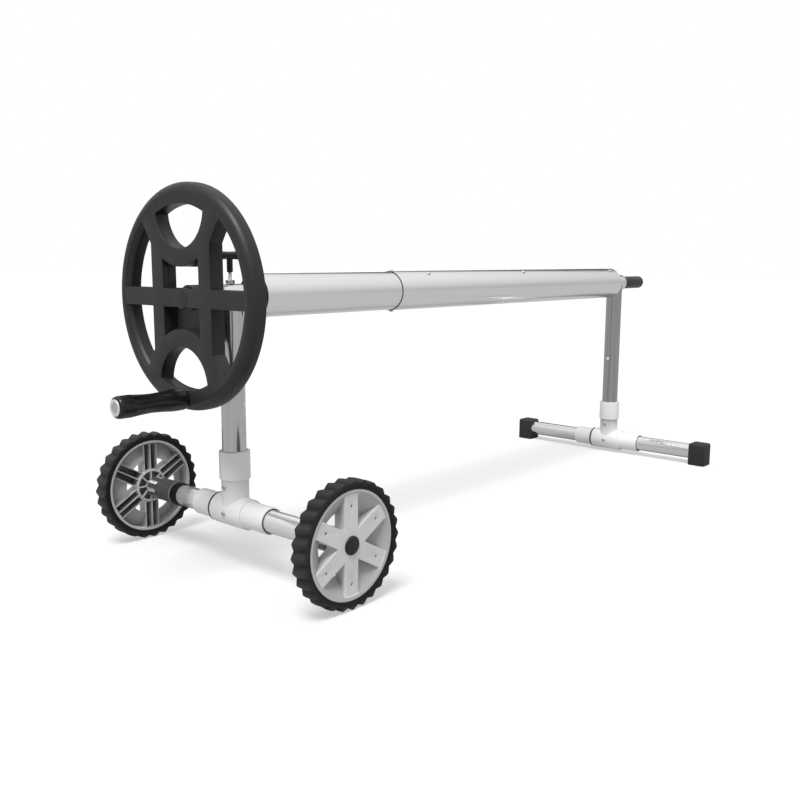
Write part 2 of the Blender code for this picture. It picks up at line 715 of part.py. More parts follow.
def make_hand_wheel(frame):
    # Moulded wheel: crowned rim, cross bar, two uprights joined by arches, recessed lower panel
    def at(height):
        return wheel_back - height

    half = WINDOW_WIDTH / 2
    bar = CROSS_BAR_HEIGHT / 2
    crest = rim_inner + RIM_WIDTH / 2
    profile = [(rim_inner, at(0.0)), (wheel_radius - RIM_EDGE, at(0.0)), (wheel_radius, at(RIM_EDGE))]
    for radius, rise in arc(1.0, 0.0, pi, 6):
        profile.append((crest + RIM_WIDTH / 2 * radius, at(WHEEL_THICKNESS - RIM_CROWN * (1 - rise))))
    wheel = turned("hand_wheel", profile, ALONG_X, RIM_ROUND, closed=True)
    spun(wheel, pi / RIM_ROUND, "X")
    openings = [mirrored(side_opening(), y, z) for y in (1, -1) for z in (1, -1)]
    openings += [mirrored(arch_opening(), 1, z) for z in (1, -1)]
    sill = arch_height - ARCH_BAND
    window = [(-half + WINDOW_LEDGE, bar + WINDOW_LEDGE / 2), (half - WINDOW_LEDGE, bar + WINDOW_LEDGE / 2),
              (half - WINDOW_LEDGE, sill), (-half + WINDOW_LEDGE, sill)]
    web = plate("web", [arc(crest - PLATE_INSET * 4, 0.0, 2 * pi, 48)[:-1], *openings, window],
                at(PLATE_INSET), at(WHEEL_THICKNESS - PLATE_INSET), ALONG_X)
    join(wheel, web)
    above = at(2 * WHEEL_THICKNESS)
    pocket = plate("pocket", [arched_window()], above, at(WHEEL_THICKNESS - WINDOW_POCKET), ALONG_X)
    panel = plate("panel", [mirrored(arched_window(), 1, -1)], above, at(WHEEL_THICKNESS - FLOOR_POCKET),
                  ALONG_X)
    groove = block("groove", (above, half - GROOVE_WIDTH, -sill + WINDOW_LEDGE),
                   (at(WHEEL_THICKNESS - GROOVE_POCKET), half - WINDOW_LEDGE, -bar - WINDOW_LEDGE))
    cut(wheel, pocket, panel, groove)
    hub = shaft_radius + SEAT_GAP + HUB_WALL
    join(wheel, rod("hub", hub, at(HUB_DEPTH), at(2 * PLATE_INSET), ALONG_X))
    spindle = rod("spindle_bore", spindle_radius + SEAT_GAP, above, at(-WHEEL_THICKNESS), ALONG_X)
    cut(wheel, rod("shaft_bore", shaft_radius + SEAT_GAP, above, at(-WHEEL_THICKNESS), ALONG_X),
        moved(spindle, (0.0, 0.0, -crank_radius)), wheel_pin_bore())
    return finish(wheel, frame, "black_plastic")


def mirrored(outline, y, z):
    return [(y * across, z * up) for across, up in outline]


def side_opening():
    # Between an upright, whose edge flares out at its end, the cross bar and the rim
    edge = WINDOW_WIDTH / 2 + UPRIGHT_WIDTH
    bar = CROSS_BAR_HEIGHT / 2
    flare = edge + FLARE_REACH
    flare_height = sqrt(rim_inner ** 2 - flare ** 2)
    sunk = rim_inner + RIM_WIDTH / 4
    tip = asin(flare_height / rim_inner)
    slope = [(edge, flare_height - FLARE_LENGTH), (flare, flare_height)]
    return [(edge, bar), *slope, *arc(sunk, tip, asin(bar / sunk), 8)]


def arch_opening():
    # The lens between the rim and an arch
    top = rim_inner - ARCH_RIM_LIP
    meet = (top ** 2 - ARCH_RADIUS ** 2 + arch_centre ** 2) / (2 * arch_centre)
    rim_angle = asin(meet / top)
    drop = asin((meet - arch_centre) / ARCH_RADIUS)
    upper = arc(top, rim_angle, pi - rim_angle, 8)
    lower = arc(ARCH_RADIUS, pi - drop, 2 * pi + drop, 12, (0.0, arch_centre))
    return upper + lower[1:-1]


def arched_window():
    # The window under an arch, from the cross bar up to the arch's lower edge
    half = WINDOW_WIDTH / 2
    radius = ARCH_RADIUS + ARCH_BAND
    lean = asin(half / radius)
    top = arc(radius, -pi / 2 + lean, -pi / 2 - lean, 8, (0.0, arch_centre))
    return [(-half, CROSS_BAR_HEIGHT / 2), (half, CROSS_BAR_HEIGHT / 2), *top]


def wheel_pin_length():
    return 2 * (shaft_radius + SEAT_GAP + HUB_WALL)


def wheel_pin_bore():
    bore = rod("pin_bore", WHEEL_PIN_DIAMETER / 2 + SEAT_GAP, -wheel_pin_length() / 2 - SEAT_GAP,
               wheel_pin_length(), facets=SMALL_ROUND)
    return moved(bore, (wheel_back - HUB_DEPTH / 2, 0.0, 0.0))


def make_wheel_pin(frame):
    half = wheel_pin_length() / 2
    pin = rod("wheel_pin", WHEEL_PIN_DIAMETER / 2, -half, half, facets=SMALL_ROUND)
    return finish(moved(pin, (wheel_back - HUB_DEPTH / 2, 0.0, 0.0)), frame, "zinc_steel")


def make_near_shaft(frame):
    end = inner_tube_start + PLUG_LENGTH
    ease = SHAFT_CHAMFER / 4
    shaft = turned("near_shaft", [(shaft_radius - ease, wheel_front), (shaft_radius, wheel_front + ease),
                                  (shaft_radius, end)], ALONG_X)
    cut(shaft, wheel_pin_bore())
    return finish(shaft, frame, "black_plastic")


def make_plug(name, tube_end, tube_bore, tube_radius, inward, frame, flange):
    # A hub that centres a shaft in the end of a reel tube
    body = tube_bore - SEAT_GAP
    seat = tube_end - inward * SEAT_GAP if flange else tube_end
    inner_end = tube_end + inward * PLUG_LENGTH
    profile = [(shaft_radius + SEAT_GAP, inner_end), (body, inner_end), (body, seat)]
    if flange:
        outside = seat - inward * PLUG_FLANGE
        profile += [(tube_radius, seat), (tube_radius, outside)]
    else:
        outside = seat
    profile.append((shaft_radius + SEAT_GAP, outside))
    return finish(turned(name, profile, ALONG_X, TUBE_ROUND, closed=True), frame, "black_plastic")


def make_far_shaft(frame, offset):
    start = far_tube_end - PLUG_LENGTH - offset
    end = far_end - offset
    profile = [(shaft_radius, start), (shaft_radius, end - SHAFT_CHAMFER),
               (shaft_radius - SHAFT_CHAMFER, end)]
    return finish(turned("far_shaft", profile, ALONG_X), frame, "black_plastic")


def radial(piece, station, tilt):
    # Moves a screw made along Z onto the tube: tilt turns it from straight up towards -Y
    return moved(spun(piece, tilt, "X"), (station, 0.0, 0.0))


def tube_screws():
    # Name, station and tilt of every screw in the outer tube
    joint = mouth + JOINT_SCREW_INSET + SCREW_HEAD_DIAMETER / 2
    screws = [("joint_screw_top", joint, 0.0), ("joint_screw_bottom", joint, pi)]
    for i, share in enumerate(STRAP_SCREW_SHARES):
        station = mouth + OUTER_TUBE_LENGTH * share
        screws.append(("strap_screw_%d" % (i + 1), station, pi / 2 - STRAP_SCREW_TILT))
    return screws


def make_outer_tube(frame, offset):
    tube = pipe("outer_tube", outer_tube_radius, outer_tube_bore, mouth - offset, far_tube_end - offset,
                ALONG_X, TUBE_ROUND)
    holes = []
    for name, station, tilt in tube_screws():
        hole = screw_hole(outer_tube_radius, OUTER_TUBE_WALL * 2, SCREW_HEAD_HEIGHT)
        holes.append(radial(hole, station - offset, tilt))
        screw = pan_screw(name, outer_tube_radius, OUTER_TUBE_WALL)
        finish(radial(screw, station - offset, tilt), frame, "zinc_steel")
    cut(tube, gather("screw_holes", holes))
    return finish(tube, frame, "satin_aluminium")


def make_crank(frame):
    # Bolt through the rim with a broad flat head at the grip's free end, and its nut
    head = crank_head_radius
    head_floor = crank_end + CRANK_HEAD_HEIGHT
    nut_end = wheel_back + SEAT_GAP + CRANK_NUT_HEIGHT
    bolt = turned("crank_bolt", [(head - CRANK_HEAD_EASE, crank_end), (head, crank_end + CRANK_HEAD_EASE),
                                 (head, head_floor), (spindle_radius, head_floor),
                                 (spindle_radius, nut_end)], ALONG_X)
    nut = hex_nut("crank_nut", crank_nut_flats, spindle_radius + SEAT_GAP, wheel_back + SEAT_GAP, nut_end,
                  ALONG_X)
    for piece in (bolt, nut):
        finish(moved(piece, (0.0, 0.0, -crank_radius)), frame, "zinc_steel")


def make_grip(frame):
    # Waisted grip that spins on the crank bolt; its profile swells at both ends
    start, end = grip_end, wheel_front - SEAT_GAP
    bore = spindle_radius + SEAT_GAP
    seat = crank_end + CRANK_HEAD_HEIGHT + SEAT_GAP
    recess = crank_head_radius + SEAT_GAP
    full, waist = GRIP_DIAMETER / 2, GRIP_WAIST / 2
    profile = [(bore, seat), (recess, seat), (recess, start), (recess + GRIP_EASE, start)]
    for share in (0.025, 0.2, 0.3, 0.4, 0.5, 0.6, 0.7, 0.8, 0.95):
        swell = min(1.0, abs(share - 0.5) / 0.3) ** 1.6
        tip = GRIP_EASE if share < 0.05 else 0.0
        profile.append((waist + (full - waist) * swell - tip, start + (end - start) * share))
    profile += [(full * 0.9, end), (bore, end)]
    return finish(turned("crank_grip", profile, ALONG_X, closed=True), frame, "grip_plastic")


def make_lock(root, pad_frame, knob_frame):
    # T-handled clamping screw: a pad presses on the shaft through the top of the near sleeve
    bottom = shaft_radius + SEAT_GAP
    pad_top = bottom + PAD_HEIGHT
    nut_start = sleeve_radius + SEAT_GAP
    screw_radius = lock_screw_radius
    stem_bottom = knob_height - KNOB_STEM_DROP
    nut = hex_nut("lock_nut", lock_nut_flats, screw_radius + SEAT_GAP, nut_start,
                  nut_start + LOCK_NUT_HEIGHT, ALONG_Z)
    finish(nut, root, "zinc_steel")
    finish(rod("lock_pad", screw_radius, bottom, pad_top, facets=SMALL_ROUND), pad_frame, "zinc_steel")
    screw = rod("lock_screw", screw_radius, pad_top + SEAT_GAP, stem_bottom + KNOB_SCREW_GRIP,
                facets=SMALL_ROUND)
    finish(screw, knob_frame, "zinc_steel")
    half = KNOB_BAR_LENGTH / 2
    bar_radius = KNOB_BAR_DIAMETER / 2
    ease = bar_radius * 0.3
    bar = turned("lock_handle", [(bar_radius - ease, -half), (bar_radius, -half + ease),
                                 (bar_radius, half - ease), (bar_radius - ease, half)], ALONG_Y,
                 SMALL_ROUND)
    moved(bar, (0.0, 0.0, knob_height))
    join(bar, rod("stem", screw_radius + KNOB_STEM_WALL, stem_bottom, knob_height, facets=SMALL_ROUND))
    cut(bar, rod("socket", screw_radius + SEAT_GAP, stem_bottom - KNOB_SCREW_GRIP,
                 stem_bottom + KNOB_SCREW_GRIP + SEAT_GAP, facets=SMALL_ROUND))
    finish(bar, knob_frame, "black_plastic")


def make_near_stand():
    root = add_frame("near_stand", (near_x, 0.0, 0.0))
    top = add_frame("near_bearing", (near_x, 0.0, REEL_HEIGHT))
    make_leg("near_leg", near_base_height, root)
    make_sleeve("near_sleeve", top, lock_hole=True)
    make_bush("near_bush_outer", -1, top)
    make_bush("near_bush_inner", 1, top)
    make_tee("near_tee", near_base_height, root)
    make_run_fittings("near", near_base_height, root)
    make_tee_screws("near", near_base_height, root)
    make_base_tube("near_base_tube", near_base_front, near_base_rear, near_base_height, root)
    pad_frame = add_frame("lock_pad_axis", (near_x, 0.0, REEL_HEIGHT))
    knob_frame = add_frame("lock_knob_axis", (near_x, 0.0, REEL_HEIGHT))
    make_lock(top, pad_frame, knob_frame)
    axles = (("front", -1, pi, FRONT_AXLE_REACH), ("rear", 1, 0.0, REAR_AXLE_REACH))
    for prefix, side, turn, reach in axles:
        place = (near_x, side * wheel_middle, near_base_height)
        axle = add_frame(prefix + "_axle", place, turn)
        make_axle_plug(prefix + "_axle_plug", reach, axle)
        make_axle_pin(prefix + "_axle_pin", reach, axle)
        make_axle_nut(prefix + "_axle_nut", axle)
        spin = add_frame(prefix + "_wheel", place, turn)
        make_tyre(prefix + "_tyre", spin)
        make_rim(prefix + "_rim", spin)
        make_hub_cap(prefix + "_hub_cap", spin)


def make_reel():
    reel = add_frame("reel_axis", (near_x, 0.0, REEL_HEIGHT))
    make_hand_wheel(reel)
    make_wheel_pin(reel)
    make_near_shaft(reel)
    make_plug("near_plug", inner_tube_start, inner_tube_bore, inner_tube_radius, 1, reel, flange=True)
    tube = pipe("inner_tube", inner_tube_radius, inner_tube_bore, inner_tube_start, inner_tube_end, ALONG_X,
                TUBE_ROUND)
    finish(tube, reel, "satin_aluminium")
    make_crank(reel)
    grip = add_frame("grip_axis", (near_x, 0.0, REEL_HEIGHT - crank_radius))
    make_grip(grip)


def make_sliding_tube():
    # The outer tube slides on the inner one; its frame sits at the tube's mouth
    slide = add_frame("tube_slide", (near_x + mouth, 0.0, REEL_HEIGHT))
    make_outer_tube(slide, mouth)
    make_plug("far_plug", far_tube_end - mouth, outer_tube_bore, outer_tube_radius, -1, slide, flange=False)
    make_far_shaft(slide, mouth)


def make_far_stand():
    root = add_frame("far_stand", (near_x + LEG_SPACING, 0.0, 0.0))
    top = add_frame("far_bearing", (near_x + LEG_SPACING, 0.0, REEL_HEIGHT))
    leg = make_leg("far_leg", far_base_height, root)
    hole = screw_hole(leg_radius, LEG_WALL * 2, SCREW_HEAD_HEIGHT)
    leg.parent = None
    cut(leg, face_minus_x(hole, LEG_BUTTON_HEIGHT))
    leg.parent = root
    button = pan_screw("leg_button", leg_radius, LEG_WALL)
    finish(face_minus_x(button, LEG_BUTTON_HEIGHT), root, "white_plastic")
    make_sleeve("far_sleeve", top, lock_hole=False)
    make_bush("far_bush_inner", -1, top)
    make_bush("far_bush_outer", 1, top)
    make_tee("far_tee", far_base_height, root)
    make_run_fittings("far", far_base_height, root)
    make_tee_screws("far", far_base_height, root)
    make_base_tube("far_base_tube", far_base_half, far_base_half, far_base_height, root)
    make_foot("front_foot", -1, root)
    make_foot("rear_foot", 1, root)


clear_scene()
make_near_stand()
make_reel()
make_sliding_tube()
make_far_stand()
bpy.context.view_layer.update()
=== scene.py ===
import json
from math import asin, cos, pi, radians, sin, sqrt

import bmesh
import bpy
import numpy as np
from mathutils import Matrix, Vector


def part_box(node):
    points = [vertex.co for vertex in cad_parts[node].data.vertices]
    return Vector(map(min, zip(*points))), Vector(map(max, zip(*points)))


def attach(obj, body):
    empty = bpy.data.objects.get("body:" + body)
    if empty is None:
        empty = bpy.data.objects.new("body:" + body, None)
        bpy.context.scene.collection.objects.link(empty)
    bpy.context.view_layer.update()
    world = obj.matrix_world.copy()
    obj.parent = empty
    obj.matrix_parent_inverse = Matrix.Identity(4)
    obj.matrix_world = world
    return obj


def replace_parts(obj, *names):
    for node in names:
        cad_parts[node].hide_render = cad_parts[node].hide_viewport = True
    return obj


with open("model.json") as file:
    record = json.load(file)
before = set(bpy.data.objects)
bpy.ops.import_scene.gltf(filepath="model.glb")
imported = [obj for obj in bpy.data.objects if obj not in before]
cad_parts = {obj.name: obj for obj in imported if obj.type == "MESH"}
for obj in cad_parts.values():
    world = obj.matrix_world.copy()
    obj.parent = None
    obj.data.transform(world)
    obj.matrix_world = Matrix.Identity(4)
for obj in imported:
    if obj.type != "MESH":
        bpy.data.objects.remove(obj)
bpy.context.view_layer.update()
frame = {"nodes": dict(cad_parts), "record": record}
record = frame["record"]
bodyOf = {node: body for body, nodes in record["behaviour"]["bodies"].items() for node in nodes}
print("frame loaded:", len(frame["nodes"]), "nodes")


class Settings(dict):
    # A piece's settings, read as tee.arm for tee["arm"]
    __getattr__ = dict.__getitem__


class Value:
    # A node's output; sums with it read as plain arithmetic
    def __init__(self, recipe, socket):
        self.recipe, self.socket = recipe, socket

    def maths(self, operation, first, second):
        return self.recipe.value("ShaderNodeMath", {"operation": operation}, {0: first, 1: second})

    def __add__(self, other):
        return self.maths("ADD", self, other)

    def __sub__(self, other):
        return self.maths("SUBTRACT", self, other)

    def __rsub__(self, other):
        return self.maths("SUBTRACT", other, self)

    def __mul__(self, other):
        return self.maths("MULTIPLY", self, other)

    def __abs__(self):
        return self.maths("ABSOLUTE", self, 0.0)

    __radd__ = __add__
    __rmul__ = __mul__

    def atLeast(self, other):
        return self.maths("MAXIMUM", self, other)

    def clamp(self):
        return self.maths("MINIMUM", self.atLeast(0.0), 1.0)

    def stepUp(self, low, high, start=0.0):
        # start below low, 1 above high, smooth between
        limits = {"Value": self, "From Min": low, "From Max": high, "To Min": start}
        return self.recipe.value("ShaderNodeMapRange", {"interpolation_type": "SMOOTHSTEP"}, limits)


class Recipe:
    # The node tree of a material or the world, and the shader that it ends in
    def __init__(self, owner, shader="Principled BSDF"):
        owner.use_nodes = True
        self.owner, self.tree = owner, owner.node_tree
        self.shader = self.tree.nodes[shader]

    def feed(self, socket, value):
        if isinstance(value, Value):
            self.tree.links.new(value.socket, socket)
        elif socket.type == "RGBA":
            socket.default_value = (*(value if isinstance(value, tuple) else (value,) * 3), 1.0)
        else:
            socket.default_value = value

    def value(self, kind, settings=None, inputs=None, output=0):
        node = self.tree.nodes.new(kind)
        for key, setting in (settings or {}).items():
            setattr(node, key, setting)
        for key, value in (inputs or {}).items():
            self.feed(node.inputs[key], value)
        return Value(self, node.outputs[output])

    def scaled(self, scale):
        coords = self.value("ShaderNodeTexCoord", output="Object")
        return self.value("ShaderNodeMapping", None, {"Vector": coords, "Scale": scale})

    def noise(self, size, detail=3.0, stretch=(1.0, 1.0, 1.0), roughness=0.55):
        # size is the feature's width in metres; stretch below 1 draws it out along that axis
        coords = self.scaled(tuple(s / size for s in stretch))
        inputs = {"Vector": coords, "Scale": 1.0, "Detail": detail, "Roughness": roughness}
        return self.value("ShaderNodeTexNoise", None, inputs, "Fac")

    def speckle(self, size):
        inputs = {"Vector": self.scaled((1 / size,) * 3), "Scale": 1.0}
        return self.value("ShaderNodeTexVoronoi", {"feature": "F1"}, inputs, "Distance")

    def attribute(self, name):
        return self.value("ShaderNodeAttribute", {"attribute_name": name}, None, "Fac")

    def rays(self, kind):
        return self.value("ShaderNodeLightPath", output="Is %s Ray" % kind)

    def blend(self, mask, first, second):
        return self.value("ShaderNodeMix", {"data_type": "RGBA"}, {0: mask, 6: first, 7: second}, 2)

    def done(self, **sockets):
        for name, value in sockets.items():
            self.feed(self.shader.inputs[name.replace("_", " ")], value)
        return self.owner

    def surface(self, colour, roughness, metallic, height, depth, **more):
        # The last step of a finish, with a bump of this height times this depth in metres
        bump = self.value("ShaderNodeBump", None, {"Height": height, "Distance": depth, "Strength": 1.0})
        return self.done(
            Base_Color=colour, Roughness=roughness.clamp(), Metallic=metallic, Normal=bump, **more)


# Finishes

def material(name):
    return Recipe(bpy.data.materials.new(name))


def cool(tone):
    # A grey with a trace of blue
    return tone, tone + 0.01, tone + 0.02


def drawnMetal(name, axis, look):
    # Drawn or extruded tube: streaks run along the tube's axis, over faint smudges; cut ends are painted
    # near black, a painted shadow for the gap at the tube's mouth
    made = material(name)
    along = tuple(0.012 if a == axis else 1.0 for a in "XYZ")
    streaks = made.noise(look.streakWidth, 2.0, along)
    fine = made.noise(look.streakWidth * 0.25, 1.0, along)
    smudges = made.noise(0.045, 4.0)
    colour = made.blend((streaks * 0.6 + fine * 0.4).clamp(), cool(look.dark), cool(look.light))
    colour = made.blend((smudges - 0.62).clamp() * 1.2, colour, cool(look.smudge))
    # Painted shade: where the attribute "cut" marks a cut end, the colour goes to near black
    colour = made.blend(made.attribute("cut"), colour, 0.03)
    rough = look.roughness + (streaks - 0.5) * look.streakRoughness + (smudges - 0.5) * 0.10
    rough = rough + made.attribute("edge") * 0.05
    return made.surface(colour, rough, look.metallic, fine + streaks * 0.5, look.lineDepth)


def zincMetal(name, **settings):
    # Plated small parts: a crystalline speckle with soft, darker patches
    look, made = Settings(settings), material(name)
    grains = made.speckle(0.0011)
    patches = made.noise(0.006, 3.0)
    colour = made.blend((grains * 0.7 + patches * 0.3).clamp(), look.dark, look.light)
    colour = made.blend(made.attribute("edge") * 0.35, colour, look.bright)
    # Painted shade: where the part marks it, the colour moves towards look.sunk
    if "sunk" in look:
        colour = made.blend(made.attribute("paintedLight"), colour, look.sunk)
    rough = look.roughness + (grains - 0.4) * 0.12 + (patches - 0.5) * 0.12
    return made.surface(colour, rough, 1.0, grains + patches, 0.00005)


def mouldedPlastic(name, **settings):
    # Moulded plastic: eroded grain, slow flow marks, paler rubbed edges, a little dust, and painted light
    # where a part marks it: painted shade on most parts, a painted glint in the axle barrel's slots
    look, made = Settings(settings), material(name)
    flow = made.noise(0.06, 3.0)
    grain = made.noise(look.grain, 2.0)
    scuffs = made.noise(0.012, 5.0, (1.0, 0.35, 1.0), 0.7)
    edge = made.attribute("edge")
    colour = made.blend(flow, look.dark, look.light)
    colour = made.blend((edge * (scuffs + 0.25)).clamp() * look.edgeWear, colour, look.rubbed)
    colour = made.blend((scuffs - 0.60).clamp() * look.dust, colour, look.dusty)
    # Painted light: where the part marks it, the colour moves towards look.sunk, a painted shade or glint
    # colour
    if "sunk" in look:
        colour = made.blend(made.attribute("paintedLight") * 0.9, colour, look.sunk)
    rough = look.roughness + (flow - 0.5) * 0.08 + (scuffs - 0.5) * 0.14 + edge * -0.06
    return made.surface(
        colour, rough, 0.0, grain + scuffs * 0.4, look.grainDepth, Coat_Roughness=0.12,
        Coat_Weight=look.get("coat", 0.0), Specular_IOR_Level=look.specular)


def tyreRubber(name, **settings):
    # Rubber: fine pebbled skin, pale dust low in the tread, painted shade deep in the tread's grooves, a
    # clean black bead next to the rim
    look, made = Settings(settings), material(name)
    pebbles = made.noise(0.0009, 2.0)
    blotches = made.noise(0.018, 4.0)
    streaks = made.noise(0.004, 3.0, (1.0, 0.2, 1.0))
    rise = made.attribute("rise")
    dust = ((1.0 - rise) * 0.35 + (blotches - 0.5) * 0.9 + (streaks - 0.55) * 1.2).clamp() * look.dust
    colour = made.blend(blotches, look.dark, look.light)
    colour = made.blend(dust, colour, look.dusty)
    # Painted shade: the tread's low parts are darkened towards look.groove
    colour = made.blend((0.75 - rise).clamp() * 1.2, colour, look.groove)
    colour = made.blend(made.attribute("bead"), colour, look.bead)
    rough = look.roughness + dust * 0.15 + (pebbles - 0.5) * 0.1
    return made.surface(
        colour, rough, 0.0, pebbles + blotches * 0.5, 0.00025, Specular_IOR_Level=look.specular)


aluminium = Settings(
    dark=0.74, light=0.84, smudge=0.66, roughness=0.22, streakRoughness=0.14, streakWidth=0.0030,
    lineDepth=0.000014, metallic=1.0)
steel = Settings(
    dark=0.66, light=0.80, smudge=0.56, roughness=0.12, streakRoughness=0.10, streakWidth=0.0024,
    lineDepth=0.000008, metallic=1.0)
baseSteel = Settings(steel, dark=0.72, light=0.86, metallic=0.66, roughness=0.16)
# Partly painted reflection: the far cross tube is the same steel as the near one; its real drawn streaks are
# made wider and more contrasting to stand in for reflection bands
reflectionBandedBaseSteel = Settings(
    steel, dark=0.55, light=0.92, streakWidth=0.0060, roughness=0.20, lineDepth=0.000003)
legSteel = Settings(steel, dark=0.42, light=0.68, smudge=0.42, streakWidth=0.0040)
# Painted shade: the far leg is the same steel as the near one, painted darker for the duller light it
# reflects
shadedLegSteel = Settings(legSteel, dark=0.24, light=0.52)
tubeX = drawnMetal("satin aluminium tube", "X", aluminium)
steelX = drawnMetal("polished steel along X", "X", steel)
steelY = drawnMetal("polished steel along Y", "Y", baseSteel)
reflectionBandedSteelY = drawnMetal("steel along Y with painted reflection bands", "Y", reflectionBandedBaseSteel)
steelZ = drawnMetal("polished steel upright", "Z", legSteel)
shadedSteelZ = drawnMetal("painted shade steel upright", "Z", shadedLegSteel)
zinc = zincMetal(
    "zinc plated steel", dark=cool(0.42), light=cool(0.62), bright=cool(0.85), roughness=0.32)
# bolt head: sunk is the painted shade colour for its dip
boltHead = zincMetal(
    "bolt head", dark=(0.82, 0.82, 0.83), light=(0.92, 0.92, 0.93), bright=0.96, sunk=cool(0.55),
    roughness=0.42)
# hand wheel: sunk is the painted shade colour for its sideways and downward walls
wheelBlack = mouldedPlastic(
    "hand wheel plastic", dark=0.020, light=0.026, rubbed=0.040, dusty=0.038, sunk=0.006,
    roughness=0.40, grain=0.0010, grainDepth=0.00008, edgeWear=0.4, dust=0.25, specular=0.30)
gripBlack = mouldedPlastic(
    "grip plastic", dark=0.006, light=0.010, rubbed=0.03, dusty=0.02, roughness=0.26, grain=0.0016,
    grainDepth=0.00003, edgeWear=0.3, dust=0.15, specular=0.30, coat=0.15)
shaftBlack = mouldedPlastic(
    "shaft plastic", dark=0.010, light=0.016, rubbed=0.04, dusty=0.03, roughness=0.36, grain=0.0012,
    grainDepth=0.00005, edgeWear=0.4, dust=0.2, specular=0.25)
collarBlack = mouldedPlastic(
    "collar plastic", dark=0.003, light=0.006, rubbed=0.02, dusty=0.012, roughness=0.50, grain=0.0014,
    grainDepth=0.00005, edgeWear=0.3, dust=0.1, specular=0.12)
# axle barrel: sunk is a painted near-white glint colour for its slots
barrelGrey = mouldedPlastic(
    "axle barrel plastic", dark=(0.050, 0.050, 0.052), light=(0.085, 0.085, 0.088), rubbed=0.30,
    dusty=0.12, sunk=0.92, roughness=0.34, grain=0.0014, grainDepth=0.00005, edgeWear=0.7, dust=0.3,
    specular=0.35)
# pipe fittings: sunk is the painted shade colour for the tees' necks
fittingWhite = mouldedPlastic(
    "pipe fitting plastic", dark=(0.83, 0.83, 0.84), light=(0.91, 0.91, 0.92), rubbed=0.94, dusty=0.70,
    sunk=(0.30, 0.30, 0.31), roughness=0.36, grain=0.0018, grainDepth=0.00004, edgeWear=0.3, dust=0.5,
    specular=0.4)
# road wheel: sunk is the painted shade colour for channels, pockets, holes and shaded faces
rimGrey = mouldedPlastic(
    "road wheel plastic", dark=(0.66, 0.665, 0.67), light=(0.73, 0.735, 0.74), rubbed=(0.82, 0.82, 0.83),
    dusty=0.50, sunk=0.04, roughness=0.45, grain=0.0014, grainDepth=0.00008, edgeWear=0.5, dust=0.5,
    specular=0.4)
# groove is the painted shade colour deep in the tread
rubberTyre = tyreRubber(
    "tyre rubber", dark=0.022, light=0.034, dusty=(0.075, 0.075, 0.073), bead=0.003, groove=0.004,
    roughness=0.48, dust=0.4, specular=0.25)
rubberBlack = mouldedPlastic(
    "foot rubber", dark=0.026, light=0.034, rubbed=0.05, dusty=(0.06, 0.06, 0.058), roughness=0.58,
    grain=0.0012, grainDepth=0.00014, edgeWear=0.4, dust=0.4, specular=0.2)
print("finishes made")


# Shapes

def fullTurn(facets):
    # Evenly spaced angles round a circle
    return np.linspace(0.0, 2 * pi, facets, endpoint=False)


def ringPoints(radius, turn, along):
    # The point at turn u is (radius cos u, radius sin u, along)
    return np.stack([radius * np.cos(turn), radius * np.sin(turn), along + 0 * turn], -1)


def laidAlong(points, axis):
    # Local Z becomes the named axis
    x, y, z = np.moveaxis(np.asarray(points, float), -1, 0)
    return np.stack({"X": (z, x, y), "Y": (y, z, x), "Z": (x, y, z)}[axis], -1)


def asPiece(name, mesh):
    # A new object in the scene for a mesh
    piece = bpy.data.objects.new(name, mesh)
    bpy.context.scene.collection.objects.link(piece)
    return piece


def fromGrid(name, points, wrapRows=False, capped=False):
    # points[row, column] is a surface that closes on itself along the columns, and along the rows if asked
    rows, columns = points.shape[:2]
    row, column = np.meshgrid(np.arange(rows if wrapRows else rows - 1), np.arange(columns), indexing="ij")
    nextRow, nextColumn = (row + 1) % rows, (column + 1) % columns
    corners = [
        row * columns + column, row * columns + nextColumn,
        nextRow * columns + nextColumn, nextRow * columns + column]
    faces = np.stack(corners, -1).reshape(-1, 4).tolist()
    if capped:
        faces += [list(range(columns)), list(range((rows - 1) * columns, rows * columns))]
    mesh = bpy.data.meshes.new(name)
    mesh.from_pydata(points.reshape(-1, 3).tolist(), [], faces)
    return asPiece(name, mesh)


def eased(profile, radius, steps=4):
    # Each corner p becomes the curve (1-t)^2 a + 2t(1-t) p + t^2 b between points a and b near it. A point's
    # third number is its own radius. A profile that starts on the axis is open, and keeps both its ends.
    points = [np.array(p[:2], float) for p in profile]
    radii = [p[2] if len(p) > 2 else radius for p in profile]
    if profile[0][0] == 0:
        radii[0] = radii[-1] = 0
    out = []
    for i, corner in enumerate(points):
        if radii[i] <= 0:
            out.append(corner)
            continue
        before, after = points[i - 1] - corner, points[(i + 1) % len(points)] - corner
        reach = min(radii[i], 0.45 * np.linalg.norm(before), 0.45 * np.linalg.norm(after))
        a = corner + before / np.linalg.norm(before) * reach
        b = corner + after / np.linalg.norm(after) * reach
        for t in np.linspace(0.0, 1.0, steps):
            out.append((1 - t) ** 2 * a + 2 * t * (1 - t) * corner + t ** 2 * b)
    return np.array(out)


def lathe(name, profile, axis, centre, facets=96, sharp=35.0, phase=0.0):
    # The profile's point (radius, distance) at turn u is (radius cos u, radius sin u, distance). A profile
    # that starts off the axis closes on itself, as a ring's does.
    profile = np.asarray(profile, float)
    points = ringPoints(profile[:, :1], phase + fullTurn(facets), profile[:, 1:2])
    return settled(fromGrid(name, laidAlong(points, axis) + np.array(centre), profile[0, 0] > 0), sharp)


def drill(axis, centre, low, *steps, facets=96):
    # A cutting tool from low upwards, with a (radius, end) for each step
    profile = [(0.0, low)]
    for radius, end in steps:
        profile += [(radius, profile[-1][1]), (radius, end)]
    return lathe("drill", profile + [(0.0, end)], axis, centre, facets)


